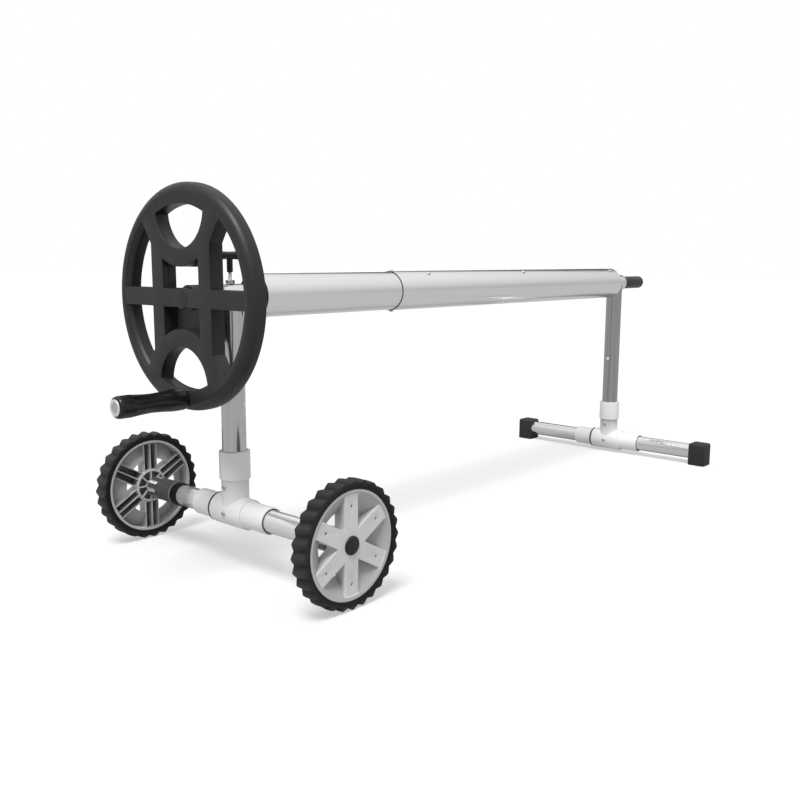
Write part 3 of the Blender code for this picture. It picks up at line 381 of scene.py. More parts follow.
def readFrom(items, key, width=1):
    # One number, or row of numbers, for each point, edge, corner or face
    values = np.empty(len(items) * width, float if key in ("co", "normal") else np.int32)
    items.foreach_get(key, values)
    return values.reshape(-1, width) if width > 1 else values


def pointsOf(piece):
    # All the piece's points as one array, a row for each
    return readFrom(piece.data.vertices, "co", 3)


def settled(piece, sharp=35.0, merge=1e-6):
    # Merges doubled points, turns faces outwards, and marks rounded edges in the attribute "edge"
    shape = bmesh.new()
    shape.from_mesh(piece.data)
    bmesh.ops.remove_doubles(shape, verts=shape.verts, dist=merge)
    bmesh.ops.dissolve_degenerate(shape, edges=shape.edges, dist=1e-7)
    bmesh.ops.recalc_face_normals(shape, faces=shape.faces)
    shape.to_mesh(piece.data)
    shape.free()
    piece.data.shade_smooth()
    piece.data.set_sharp_from_angle(angle=radians(sharp))
    marked(piece, "edge", edgeAngles(piece.data))
    return piece


def edgeAngles(mesh):
    # Largest angle between neighbouring faces at each point, from 12 degrees (0) to 40 degrees (1)
    corners = readFrom(mesh.loops, "edge_index")
    normals = readFrom(mesh.polygons, "normal", 3)
    totals = readFrom(mesh.polygons, "loop_total")
    ends = readFrom(mesh.edges, "vertices", 2)
    faceOf = np.repeat(np.arange(len(totals)), totals)
    order = np.argsort(corners, kind="stable")
    edge, face = corners[order], faceOf[order]
    pair = np.flatnonzero(edge[1:] == edge[:-1])
    cosine = np.clip((normals[face[pair]] * normals[face[pair + 1]]).sum(1), -1, 1)
    steepest = np.zeros(len(mesh.vertices))
    for side in (0, 1):
        np.maximum.at(steepest, ends[edge[pair]][:, side], np.degrees(np.arccos(cosine)))
    return (steepest - 12.0) / 28.0


def marked(piece, name, values):
    # Stores one number from 0 to 1 at each point, for the shaders
    layer = piece.data.attributes.get(name) or piece.data.attributes.new(name, "FLOAT", "POINT")
    layer.data.foreach_set("value", np.clip(values, 0, 1).astype(np.float32))


def carved(piece, operation, *tools):
    # A Boolean with each tool in turn; the live modifier becomes mesh
    for tool in tools:
        step = piece.modifiers.new(operation, "BOOLEAN")
        step.operation, step.solver, step.object = operation, "EXACT", tool
        graph = bpy.context.evaluated_depsgraph_get()
        mesh = bpy.data.meshes.new_from_object(piece.evaluated_get(graph))
        piece.modifiers.clear()
        piece.data = mesh
        bpy.data.objects.remove(tool, do_unlink=True)
    return piece


def inOrder(piece, slant=(0.61, 0.73, 0.29)):
    # Sorts points and faces by their distance along a slanted line, x a + y b + z c
    shape, line = bmesh.new(), Vector(slant)
    shape.from_mesh(piece.data)
    shape.verts.sort(key=lambda vert: vert.co.dot(line))
    shape.faces.sort(key=lambda face: face.calc_center_median().dot(line))
    shape.to_mesh(piece.data)
    shape.free()
    return piece


def copied(piece, name, shift, turn=Matrix.Identity(4)):
    # A copy of a master piece, turned and then shifted
    twin = asPiece(name, piece.data.copy())
    twin.data.transform(turn)
    twin.data.transform(Matrix.Translation(shift))
    return twin


def dressed(piece, finish, node):
    # A piece that rides with a node without standing for it
    piece.data.materials.clear()
    piece.data.materials.append(finish)
    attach(piece, bodyOf[node])
    return piece


def placed(piece, finish, *nodes):
    # The piece rides on the first node's body and stands for every node named
    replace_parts(dressed(piece, finish, nodes[0]), *nodes)
    return piece


def turnedPiece(node, name, finish, axis, centre, profile, ease, facets=96, side=1, steps=4):
    # A lathe with eased corners that stands for one node; side -1 mirrors it along its axis
    spots = eased(profile, ease, steps) * np.array((1.0, side))
    return placed(lathe(name, spots, axis, centre, facets), finish, node)


def pipe(node, name, finish, axis, centre, outer, bore, start, end, ease=0.0004, facets=96):
    # A tube: the rectangle between bore and outer radius, from start to end, turned round the axis
    profile = [(outer, start), (outer, end), (bore, end), (bore, start)]
    return turnedPiece(node, name, finish, axis, centre, profile, ease, facets)


def middle(node):
    # The middle of the node's box, (low + high) / 2
    low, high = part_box(node)
    return (low + high) / 2


def span(node, axis):
    # Where the node's box starts and ends along an axis
    return [corner["XYZ".index(axis)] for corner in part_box(node)]


def half(node, axis):
    # Half the box's length along an axis, which is the radius of what is round
    low, high = span(node, axis)
    return (high - low) / 2


def spread(outline, inset):
    # Moves each point of a counterclockwise outline along its mitre, outwards by inset
    points = np.asarray(outline, float)
    edges = np.roll(points, -1, 0) - points
    edges /= np.linalg.norm(edges, axis=1, keepdims=True)
    normals = np.stack([edges[:, 1], -edges[:, 0]], 1)
    mitre = normals + np.roll(normals, 1, 0)
    mitre /= np.maximum((mitre * np.roll(normals, 1, 0)).sum(1, keepdims=True), 0.3)
    return points + mitre * inset


def anticlockwise(outline):
    # The area, half the sum of x dy - y dx, is negative for a clockwise outline
    points = np.asarray(outline, float)
    x, y = points[:, 0], points[:, 1]
    area = (x * np.roll(y, -1) - np.roll(x, -1) * y).sum()
    return points if area > 0 else points[::-1].copy()


def arc(radius, start, end, steps, centre=(0.0, 0.0)):
    # The point at turn u is centre + (radius cos u, radius sin u)
    turn = np.linspace(start, end, steps + 1)
    return np.stack([centre[0] + radius * np.cos(turn), centre[1] + radius * np.sin(turn)], 1)


def rectangle(left, bottom, right, top):
    # Four corners, counterclockwise where left < right and bottom < top
    return [(left, bottom), (right, bottom), (right, top), (left, top)]


class Terrace:
    # A flat moulding: outlines joined by walls, and flat faces filled between outlines at one height
    def __init__(self):
        self.shape = bmesh.new()

    def outline(self, points, height):
        # The point (x, y) becomes (x, y, height)
        return [self.shape.verts.new((x, y, height)) for x, y in points]

    def wall(self, *outlines):
        # One face between each side of an outline and the same side of the next
        for low, high in zip(outlines, outlines[1:]):
            for i in range(len(low)):
                j = (i + 1) % len(low)
                self.shape.faces.new((low[i], low[j], high[j], high[i]))

    def flat(self, *outlines):
        # Triangles fill the first outline and leave the others open as holes
        edges = []
        for verts in outlines:
            for i, vert in enumerate(verts):
                ends = (vert, verts[(i + 1) % len(verts)])
                edges.append(self.shape.edges.get(ends) or self.shape.edges.new(ends))
        bmesh.ops.triangle_fill(self.shape, use_beauty=True, edges=edges)

    def shaft(self, outline, top, bottom, lip, side=1.0):
        # A wall from a rounded lip at the top down to the bottom, round a hole or (side -1) a plate;
        # returns its two outlines
        up = 1.0 if top > bottom else -1.0
        rings = []
        for t in np.linspace(0.0, pi / 2, 4):
            points = spread(outline, side * lip * (1 - np.sin(t)))
            rings.append(self.outline(points, top - up * lip * (1 - np.cos(t))))
        rings.append(self.outline(outline, bottom))
        self.wall(*rings)
        return rings[0], rings[-1]

    def made(self, name, axis, centre):
        # The moulding's height is laid along the axis and its origin moved to centre
        mesh = bpy.data.meshes.new(name)
        bmesh.ops.recalc_face_normals(self.shape, faces=self.shape.faces)
        self.shape.to_mesh(mesh)
        self.shape.free()
        spots = laidAlong(readFrom(mesh.vertices, "co", 3), axis) + np.array(centre)
        mesh.vertices.foreach_set("co", spots.ravel())
        return settled(asPiece(name, mesh))


# Where things are, read from the frame

nearX, farX = middle("near_leg").x, middle("far_leg").x
axisZ = middle("outer_tube").z
nearBase, farBase = middle("near_base_tube").z, middle("far_base_tube").z
seat = 0.0003  # the gap that the frame keeps at every seat
legRadius, sleeveRadius, tubeRadius = (half(node, "Y") for node in ("near_leg", "near_sleeve", "outer_tube"))
baseRadius, baseWall, shaftRadius, boltBore = 0.019, 0.0015, 0.0165, 0.0053
shaftBore, baseBore = shaftRadius + seat, baseRadius + seat
origin = (0.0, 0.0, 0.0)


# Stands

stand = Settings(
    legWall=0.0015, sleeveWall=0.002, weldWidth=0.0022, weldLift=0.0004, weldWaves=46, weldWobble=0.07,
    sleeveHalf=0.030, bushLength=0.018, bushFlange=0.002)


def makeLeg(prefix, finish):
    # Upright tube; the top follows the sleeve: height = axis - sqrt(R^2 - y^2), with R the sleeve's radius
    node, turn = prefix + "_leg", fullTurn(96)
    bottom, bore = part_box(node)[0].z, legRadius - stand.legWall
    rings = []
    for radius, share in ((legRadius, 0.0), (legRadius, 1.0), (bore, 1.0), (bore, 0.0)):
        y = radius * np.sin(turn)
        top = axisZ - np.sqrt(np.maximum((sleeveRadius + seat) ** 2 - y ** 2, 0.0))
        rings.append(ringPoints(radius, turn, bottom + (top - bottom) * share))
    points = np.stack(rings) + np.array((middle(node).x, 0.0, 0.0))
    placed(settled(fromGrid(prefix + "LegTube", points, True)), finish, node)


def makeSleeve(prefix):
    # Short cross tube, and the weld bead on the line where the leg meets it
    s, node = stand, prefix + "_sleeve"
    spot = (middle(node).x, 0.0, axisZ)
    pipe(node, prefix + "SleeveTube", steelX, "X", spot, sleeveRadius, sleeveRadius - s.sleeveWall,
         -s.sleeveHalf, s.sleeveHalf, 0.0006)
    turn, beadTurn = fullTurn(160), fullTurn(10)[:, None]
    y = np.minimum(np.abs(legRadius * np.sin(turn)), sleeveRadius)
    z = -np.sqrt(np.maximum((sleeveRadius + s.weldLift) ** 2 - y ** 2, 0.0))
    radius = s.weldWidth * (0.5 + s.weldWobble * np.sin(s.weldWaves * turn))
    outward, downward = ringPoints(1.0, turn, 0.0), np.array((0.0, 0.0, -1.0))
    offset = np.cos(beadTurn) * outward[:, None] + np.sin(beadTurn) * downward
    points = ringPoints(legRadius, turn, z)[:, None] + offset * radius[:, None, None] + np.array(spot)
    dressed(settled(fromGrid(prefix + "SleeveWeld", points, True)), zinc, node)


def makeBush(node, name, x, side):
    # A lathe: the body fits the sleeve's bore, and the flange lies on the sleeve's end
    start, end = stand.sleeveHalf + seat, stand.sleeveHalf + stand.bushFlange
    inside, body = start - stand.bushLength, sleeveRadius - stand.sleeveWall - seat
    profile = [
        (shaftBore, inside), (body, inside), (body, start, 0.0), (sleeveRadius, start), (sleeveRadius, end),
        (shaftBore, end)]
    turnedPiece(node, name, shaftBlack, "X", (x, 0.0, axisZ), profile, 0.0006, 80, side)


makeLeg("near", steelZ)
makeLeg("far", shadedSteelZ)
makeSleeve("near")
makeSleeve("far")
makeBush("near_bush_outer", "nearBushFront", nearX, -1)
makeBush("near_bush_inner", "nearBushBack", nearX, 1)
makeBush("far_bush_inner", "farBushFront", farX, -1)
makeBush("far_bush_outer", "farBushBack", farX, 1)

tee = Settings(
    arm=0.023, body=0.0265, neck=0.0235, bodyHalf=0.0407, reach=0.0945, neckTop=0.058, collarTop=0.106,
    socketFloor=0.030, sealRadius=0.0207, sealDepth=0.003, ribs=16, ribDepth=0.00022, facetTurn=0.013,
    beyond=0.2, ringWidth=0.004, nearNeckShade=0.22, farNeckShade=0.62)


def makeTee():
    # Run and riser are lathes joined by a Boolean; the collar's radius is R - d (1 - cos(n u)) / 2
    t = tee
    run = lathe("teeRun", eased([
        (0, -t.reach), (t.arm, -t.reach, 0.0012), (t.arm, -t.bodyHalf, 0.0006),
        (t.body, -t.bodyHalf, 0.0014), (t.body, t.bodyHalf, 0.0012), (0, t.bodyHalf)], 0.001),
        "Y", origin, 128)
    profile = eased([
        (0, 0.0), (t.neck, 0.0), (t.neck, t.neckTop, 0.0005), (t.body, t.neckTop, 0.0012),
        (t.body, t.collarTop, 0.0012), (0, t.collarTop)], 0.001)
    turn = fullTurn(128) + t.facetTurn
    radius, along = profile[:, :1], profile[:, 1:2]
    onCollar = (radius > t.neck + 0.0008) & (along > t.neckTop - 0.001)
    radius = radius - onCollar * t.ribDepth * (1 - np.cos(t.ribs * turn)) / 2
    carved(run, "UNION", settled(fromGrid("teeRiser", ringPoints(radius, turn, along))))
    sealEnd = t.sealDepth + seat - t.reach
    mouth = drill("Y", origin, -t.beyond, (t.sealRadius + seat, sealEnd), (baseBore, t.beyond))
    carved(run, "DIFFERENCE", mouth, drill("Z", origin, t.socketFloor, (legRadius + seat, t.beyond)))
    return settled(run, 30.0, 2e-6)


def makeStandFittings():
    # Each stand's tee, a copy of one master, and its ring, coupling, seal and cross tube, all lathes
    master, t = makeTee(), tee
    ringStart = t.bodyHalf + seat
    ringEnd = ringStart + t.ringWidth
    start = ringEnd + seat
    for prefix, x, z, finish in (("near", nearX, nearBase, steelY), ("far", farX, farBase, reflectionBandedSteelY)):
        spot = (x, 0.0, z)
        body = copied(master, prefix + "TeeBody", spot)
        # Painted shade on each tee's neck under the collar, stronger on the far tee than on the near one
        height = pointsOf(body)[:, 2] - z
        onNeck = (height > t.body + 0.001) & (height < t.neckTop + 0.0002)
        marked(body, "paintedLight", t[prefix + "NeckShade"] * onNeck)
        placed(body, fittingWhite, prefix + "_tee")
        pipe(prefix + "_spacer_ring", prefix + "SpacerRing", rubberBlack, "Y", spot, t.body - seat, baseBore,
             ringStart, ringEnd, 0.0008)
        coupling = [
            (t.arm, start, 0.001), (t.arm, t.reach, 0.0014), (baseBore, t.reach, 0.0008),
            (baseBore, start, 0.0004)]
        turnedPiece(prefix + "_coupling", prefix + "CouplingPipe", fittingWhite, "Y", spot, coupling, 0.001)
        pipe(prefix + "_tee_seal", prefix + "SealRing", rubberBlack, "Y", spot, t.sealRadius, baseBore,
             -t.reach, t.sealDepth - t.reach)
        low, high = span(prefix + "_base_tube", "Y")
        pipe(prefix + "_base_tube", prefix + "CrossTube", finish, "Y", spot, baseRadius,
             baseRadius - baseWall, low, high, 0.0005)
    bpy.data.objects.remove(master, do_unlink=True)


makeStandFittings()
print("stands made")

screw = Settings(
    head=0.0045, headHeight=0.0026, shank=0.002, slotWidth=0.00085, slotReach=0.0029, slotDepth=0.0014,
    tilt=30.0, tip=0.0037, tipRadius=0.0019)


def screwMaster():
    # Pan head: z = h (0.45 + 0.55 (1 - (r/R)^3)) on the dome, less a cross slot that ends at its reach
    s, turn = screw, fullTurn(72)
    under = [s.head, s.head, s.head * 0.97, s.shank, s.shank, 0.0]
    radius = np.concatenate([np.linspace(0.0, s.head * 0.97, 22), under])[:, None]
    dome = s.headHeight * (0.45 + 0.55 * (1 - (radius / s.head) ** 3))
    dome[-6:, 0] = [s.headHeight * 0.42, 0.0003, 0.0, 0.0, -0.0010, -0.0010]
    x, y = np.abs(radius * np.cos(turn)), np.abs(radius * np.sin(turn))
    slot = np.clip((s.slotWidth / 2 - np.minimum(x, y)) / 0.00022 + 0.5, 0, 1)
    slot *= np.clip((s.slotReach - np.maximum(x, y)) / 0.0004 + 0.5, 0, 1)
    slot[-6:] = 0.0
    return settled(fromGrid("screwMaster", ringPoints(radius, turn, dome - s.slotDepth * slot)), 40.0)


def makeScrews():
    # Copies of one pan head, turned to face outwards; each upper tee screw's tip is a small lathe
    master, tilt = screwMaster(), radians(screw.tilt)
    sideways = Matrix.Rotation(-pi / 2, 4, "Y")
    for prefix, x in (("near", nearX), ("far", farX)):
        for level, out in (("lower", tee.body), ("upper", tee.neck)):
            node = "%s_tee_screw_%s" % (prefix, level)
            z = middle(node).z
            head = copied(master, prefix + "TeeScrew" + level.title(), (x - out - seat, 0.0, z), sideways)
            placed(head, zinc, node)
        start, end, wide = tee.neck - 0.002, tee.neck + screw.tip, screw.tipRadius
        profile = [(0, start), (wide, start), (wide, end - 0.0007), (wide - 0.0007, end), (0, end)]
        dressed(lathe(prefix + "TeeScrewTip", profile, "X", (x, 0.0, z), 32), collarBlack, node)
    spot = (farX - legRadius - seat, 0.0, middle("leg_button").z)
    placed(copied(master, "legButton", spot, sideways), fittingWhite, "leg_button")
    top = ((0, 0, 1), Matrix.Identity(4))
    bottom = ((0, 0, -1), Matrix.Rotation(pi, 4, "X"))
    front = ((0.0, -sin(tilt), cos(tilt)), Matrix.Rotation(tilt, 4, "X"))
    for node, (direction, turn) in (
            ("joint_screw_top", top), ("joint_screw_bottom", bottom), ("strap_screw_1", front),
            ("strap_screw_2", front), ("strap_screw_3", front)):
        spot = Vector((middle(node).x, 0.0, axisZ)) + Vector(direction) * (tubeRadius + seat)
        words = node.split("_")
        placed(copied(master, words[0] + "Screw" + words[2].title(), spot, turn), zinc, node)
    bpy.data.objects.remove(master, do_unlink=True)


# Reel tubes and shafts

reel = Settings(
    outerWall=0.0011, innerWall=0.0015, cutEnd=0.0003, flange=0.003, dish=0.002, dishWall=0.006,
    dishFoot=0.007, hubWall=0.005, hubFoot=0.006, shaftEnd=0.002)


def makeReelTubes():
    # Both tubes of the telescope, their plugs and the shafts: lathes round the reel's axis
    centre = (0.0, 0.0, axisZ)
    inner = tubeRadius - reel.outerWall - seat
    for node, name, radius, wall in (
            ("outer_tube", "outerReelTube", tubeRadius, reel.outerWall),
            ("inner_tube", "innerReelTube", inner, reel.innerWall)):
        low, high = span(node, "X")
        tube = pipe(node, name, tubeX, "X", centre, radius, radius - wall, low, high, 0.0005, 160)
        # Painted shade: both ends of each tube are marked for a painted dark shadow gap
        x = pointsOf(tube)[:, 0]
        marked(tube, "cut", 1.0 * ((x < low + reel.cutEnd) | (x > high - reel.cutEnd)))
    body = inner - reel.innerWall - seat
    low, high = span("near_plug", "X")
    flange = low + reel.flange
    turnedPiece("near_plug", "nearTubePlug", shaftBlack, "X", centre, [
        (shaftBore, low), (inner, low, 0.001), (inner, flange), (body, flange, 0.0), (body, high),
        (shaftBore, high)], 0.0005, 120)
    low, high = span("far_plug", "X")
    dish = high - reel.dish
    turnedPiece("far_plug", "farTubePlug", shaftBlack, "X", centre, [
        (shaftBore, low), (inner, low), (inner, high, 0.001), (inner - reel.dishWall, high),
        (inner - reel.dishFoot, dish), (shaftBore + reel.hubFoot, dish), (shaftBore + reel.hubWall, high),
        (shaftBore, high)], 0.0005, 120)
    low, high = span("near_shaft", "X")
    turnedPiece("near_shaft", "nearShaftBar", wheelBlack, "X", centre, [
        (0, low), (shaftRadius, low), (shaftRadius, high), (0, high)], 0.0006)
    low, high = span("far_shaft", "X")
    turnedPiece("far_shaft", "farShaftBar", shaftBlack, "X", centre, [
        (0, low), (shaftRadius, low), (shaftRadius, high - reel.shaftEnd),
        (shaftRadius - reel.shaftEnd, high), (0, high)], 0.0012)


makeReelTubes()
makeScrews()
print("reel tubes and screws made")

# Hand wheel

handWheel = Settings(
    inner=0.150, thickness=0.026, rimWidth=0.030, crown=0.014, backEdge=0.003, backRise=0.008, bar=0.0145,
    halfWindow=0.0475, upright=0.030, flareReach=0.0195, flareLength=0.0294, archInset=0.010,
    archRadius=0.063, archBand=0.028, lensLip=0.004, windowDepth=0.012, floorDepth=0.018,
    grooveDepth=0.023, grooveWidth=0.0135, ledge=0.001, lip=0.0010, facets=192, hubWall=0.0037,
    hubDepth=0.012, crank=0.160, plateInset=0.0004, plateEdge=0.0015, innerEdge=(0.001, 0.0015),
    grooveGap=0.0005, beyond=0.06, setback=0.072)
archCentre = handWheel.inner - handWheel.archInset


def sideOutline():
    # Up the upright, out along its flare, and back down an arc that ends inside the rim
    w = handWheel
    edge = w.halfWindow + w.upright
    flare = edge + w.flareReach
    top = sqrt(w.inner ** 2 - flare ** 2)
    sunk = w.inner + w.rimWidth / 4
    bow = arc(sunk, asin(top / w.inner), asin(w.bar / sunk), 28)
    return np.concatenate([[(edge, w.bar), (edge, top - w.flareLength), (flare, top)], bow])


def lensOutline():
    # Between the rim's circle t and the arch's circle r round c, which meet at (t^2 - r^2 + c^2) / 2c
    w = handWheel
    top = w.inner - w.lensLip
    meet = (top ** 2 - w.archRadius ** 2 + archCentre ** 2) / (2 * archCentre)
    rimAngle, drop = asin(meet / top), asin((meet - archCentre) / w.archRadius)
    lower = arc(w.archRadius, pi - drop, 2 * pi + drop, 40, (0.0, archCentre))
    return np.concatenate([arc(top, rimAngle, pi - rimAngle, 24), lower[1:-1]])


def windowOutline():
    # Two corners on the bar, closed by an arc round the arch's centre
    w = handWheel
    radius = w.archRadius + w.archBand
    lean = asin(w.halfWindow / radius)
    arch = arc(radius, -pi / 2 + lean, -pi / 2 - lean, 28, (0.0, archCentre))
    return np.concatenate([[(-w.halfWindow, w.bar), (w.halfWindow, w.bar)], arch])


def mirrored(outline, y, z):
    # The point (a, b) becomes (y a, z b), with signs for y and z, and stays counterclockwise
    return anticlockwise(np.asarray(outline) * np.array((y, z)))


def makeWheelRing(outer, centre):
    # A lathe whose front is the half ellipse depth = c (1 - sin a), radius = crest + w/2 cos a
    w, a = handWheel, np.linspace(0.0, pi, 19)
    radius = (w.inner + outer) / 2 + (outer - w.inner) / 2 * np.cos(a)
    crown = np.stack([radius, w.thickness - w.crown * (1 - np.sin(a))], 1)
    back = eased([(w.inner, 0.0), (outer, 0.0, w.backEdge), (outer, w.backRise)], 0.0)
    chamfer = [(w.inner, w.innerEdge[1]), (w.inner + w.innerEdge[0], 0.0)]
    profile = np.concatenate([chamfer, back[1:-1], crown])
    spots = profile * np.array((1.0, -1.0))
    return lathe("handWheelRing", spots, "X", centre, w.facets, phase=pi / w.facets)


def makeHandWheel():
    # Flat moulding with rounded lips round every opening and two recessed windows, inside the ring
    w, web = handWheel, Terrace()
    outer, centre = half("hand_wheel", "Z"), (nearX - w.setback, 0.0, axisZ)
    front, rear = w.plateInset - w.thickness, -w.plateInset
    edge = arc((w.inner + outer) / 2 - w.plateEdge, 0.0, 2 * pi, w.facets)[:-1]
    rimFront, rimRear = web.outline(edge, front), web.outline(edge, rear)
    web.wall(rimFront, rimRear)
    frontHoles, rearHoles = [], []
    openings = [mirrored(sideOutline(), y, z) for y in (1, -1) for z in (1, -1)]
    openings += [mirrored(lensOutline(), 1, z) for z in (1, -1)]
    for outline in openings:
        top, halfWay = web.shaft(outline, front, (front + rear) / 2, w.lip)
        bottom, other = web.shaft(outline, rear, (front + rear) / 2, w.lip * 0.6)
        for i, j in zip(halfWay, other):
            bmesh.ops.pointmerge(web.shape, verts=[i, j], merge_co=i.co.copy())
        frontHoles.append(top)
        rearHoles.append(bottom)

    def recess(outline, hole, floor, end, blind):
        # A sunken window with a smaller hole in its floor, blind or right through
        top, floorEdge = web.shaft(outline, front, floor, w.lip)
        frontHoles.append(top)
        holeTop, holeEnd = web.outline(hole, floor), web.outline(hole, end)
        web.wall(holeTop, holeEnd)
        if blind:
            web.flat(holeEnd)
        else:
            rearHoles.append(holeEnd)
        web.flat(floorEdge, holeTop)

    sill, right = archCentre - w.archRadius - w.archBand, w.halfWindow - w.ledge
    see = anticlockwise(rectangle(-right, w.bar + w.ledge / 2, right, sill))
    recess(anticlockwise(windowOutline()), see, front + w.windowDepth, rear, False)
    groove = rectangle(w.halfWindow - w.grooveWidth, w.grooveGap - sill, right, -w.bar - w.ledge)
    groove = anticlockwise(groove)
    recess(mirrored(windowOutline(), 1, -1), groove, front + w.floorDepth, front + w.grooveDepth, True)
    web.flat(rimFront, *frontHoles)
    web.flat(rimRear, *rearHoles)
    plate = web.made("handWheelPiece", "X", centre)
    hub = shaftBore + w.hubWall
    profile = [(0, -w.hubDepth), (hub, -w.hubDepth, 0), (hub, w.hubDepth, 0.0012), (0, w.hubDepth)]
    carved(plate, "UNION", makeWheelRing(outer, centre), lathe("hub", eased(profile, 0.001), "X", centre))
    for radius, drop in ((shaftBore, 0.0), (boltBore, w.crank)):
        spot = (centre[0], 0.0, axisZ - drop)
        carved(plate, "DIFFERENCE", drill("X", spot, -w.beyond, (radius, w.beyond)))
    settled(plate, 32.0, 2e-6)
    # Painted shade: inside the rim, walls that face sideways or down are darkened; upward walls are left as
    # they are
    normals = readFrom(plate.data.vertices, "normal", 3)
    offset = pointsOf(plate) - np.array(centre)
    inside = np.hypot(offset[:, 1], offset[:, 2]) < w.inner + 0.001
    level = np.clip((0.75 - np.abs(normals[:, 0])) / 0.3, 0, 1) * np.clip(0.5 - 1.5 * normals[:, 2], 0, 1)
    marked(plate, "paintedLight", level * inside)
    placed(plate, wheelBlack, "hand_wheel", "wheel_pin")


makeHandWheel()
print("hand wheel made")

# Crank grip, its bolt and nut

crank = Settings(
    full=0.0176, waist=0.0151, headHeight=0.003, headInset=0.0045, recess=0.0018, spindle=0.005,
    nutFlats=0.016, dip=0.0006, dipFloor=0.62, dipRim=0.72, dipShade=0.66)


def makeNut(node, name, flats, bore, axis, spot, chamfer=0.0006):
    # Six-sided: radius = (flats / 2) / cos(turn to the nearest flat's middle), the ends cut by a cone
    turn, height = fullTurn(72), 2 * half(node, axis)
    side = flats / 2 / np.cos((turn + pi / 6) % (pi / 3) - pi / 6)
    cone = np.minimum(side, flats / 2 * 1.04)
    points = np.stack([ringPoints(radius, turn, along) for radius, along in (
        (bore, 0.0), (cone, 0.0), (side, chamfer), (side, height - chamfer), (cone, height),
        (bore, height))])
    nut = settled(fromGrid(name, laidAlong(points, axis) + np.array(spot), True), 25.0)
    placed(nut, zinc, node)


def makeCrank():
    # Grip: radius = waist + (full - waist) min(1, |s - 1/2| / 0.3)^1.6 at the share s of its length
    c, height = crank, axisZ - handWheel.crank
    spot = (0.0, 0.0, height)
    low, high = span("crank_grip", "X")
    share = np.array([
        0.012, 0.03, 0.06, 0.1, 0.15, 0.2, 0.26, 0.32, 0.38, 0.44, 0.5, 0.56, 0.62, 0.68, 0.74, 0.8, 0.86,
        0.92, 0.96])
    radius = c.waist + (c.full - c.waist) * np.minimum(1.0, np.abs(share - 0.5) / 0.30) ** 1.6
    radius[:2] -= (0.0012, 0.0003)
    head, recess = c.full - c.headInset, low + c.recess
    mouth = head + seat
    profile = np.concatenate([
        [(boltBore, recess), (mouth, recess), (mouth, low + 0.0006), (mouth + 0.0006, low)],
        np.stack([radius, low + (high - low) * share], 1),
        [(c.full * 0.96, high - 0.001), (c.full * 0.9, high), (boltBore, high)]])
    placed(lathe("crankGripBody", profile, "X", spot, 96, 40.0), gripBlack, "crank_grip")
    low, high = span("crank_bolt", "X")
    dip, under = low + c.dip, low + c.headHeight - seat
    bolt = turnedPiece("crank_bolt", "crankBoltBody", boltHead, "X", spot, [
        (0.0, dip), (head * c.dipFloor, dip), (head * c.dipRim, low), (head, low, 0.0006), (head, under),
        (c.spindle, under), (c.spindle, high - 0.001), (c.spindle - 0.0007, high), (0.0, high)],
        0.0004, 80)
    # Painted shade in the dip of the bolt's head
    offset = pointsOf(bolt) - np.array((low, 0.0, height))
    inDip = np.hypot(offset[:, 1], offset[:, 2]) < head * c.dipShade
    marked(bolt, "paintedLight", 1.0 * (offset[:, 0] < 0.001) * inDip)
    makeNut("crank_nut", "crankNutBody", c.nutFlats, boltBore, "X", (span("crank_nut", "X")[0], 0.0, height))


makeCrank()

# Clamping screw

lock = Settings(
    barHalf=0.030, barRadius=0.007, barWide=1.06, rise=0.067, stemRadius=0.005, stemBottom=0.0395,
    boreBottom=0.03, boreTop=0.0518, screwRadius=0.003, nutFlats=0.013, pitch=0.001, threadDepth=0.00045)


def makeLock():
    # T handle: a bar with domed ends on a stem. Thread: radius = r - d |2 frac(z/p - u/2pi) - 1|
    spot, l = (nearX, 0.0, axisZ), lock
    end, r = l.barHalf, l.barRadius
    profile = eased([
        (0, -end), (r * 0.82, -end, 0.0012), (r * 0.94, -end * 0.86, 0.002), (r * 0.80, 0.0, 0.01),
        (r * 0.94, end * 0.86, 0.002), (r * 0.82, end, 0.0012), (0, end)], 0.002, 6)
    profile = profile * np.array((l.barWide, 1.0))
    bar = lathe("lockKnobHandle", profile, "Y", (nearX, 0.0, axisZ + l.rise), 48)
    stem = eased([
        (0, l.stemBottom), (l.stemRadius * 0.9, l.stemBottom), (l.stemRadius, l.stemBottom + 0.002),
        (l.stemRadius, l.rise), (0, l.rise)], 0.0008)
    bore = l.screwRadius + seat
    carved(bar, "UNION", lathe("stem", stem, "Z", spot, 48))
    carved(bar, "DIFFERENCE", drill("Z", spot, l.boreBottom, (bore, l.boreTop), facets=32))
    placed(settled(bar, 32.0, 2e-6), shaftBlack, "lock_handle")
    turn = fullTurn(24)
    z = np.arange(*span("lock_screw", "Z"), l.pitch / 8)[:, None]
    radius = l.screwRadius - l.threadDepth * np.abs(2 * ((z / l.pitch - turn / (2 * pi)) % 1.0) - 1)
    points = ringPoints(radius, turn, z) + np.array((nearX, 0.0, 0.0))
    placed(settled(fromGrid("lockScrewThread", points, capped=True), 60.0), zinc, "lock_screw")
    makeNut("lock_nut", "lockNutBody", l.nutFlats, bore, "Z", (nearX, 0.0, span("lock_nut", "Z")[0]))


makeLock()
print("crank and lock made")

# Road wheels

tyre = Settings(
    seat=0.0868, bead=0.0133, wide=0.015, shoulder=0.0915, shoulderHalf=0.0137, lugs=28, depth=0.0050,
    skew=0.095, sag=0.0012, perLug=20, across=25)


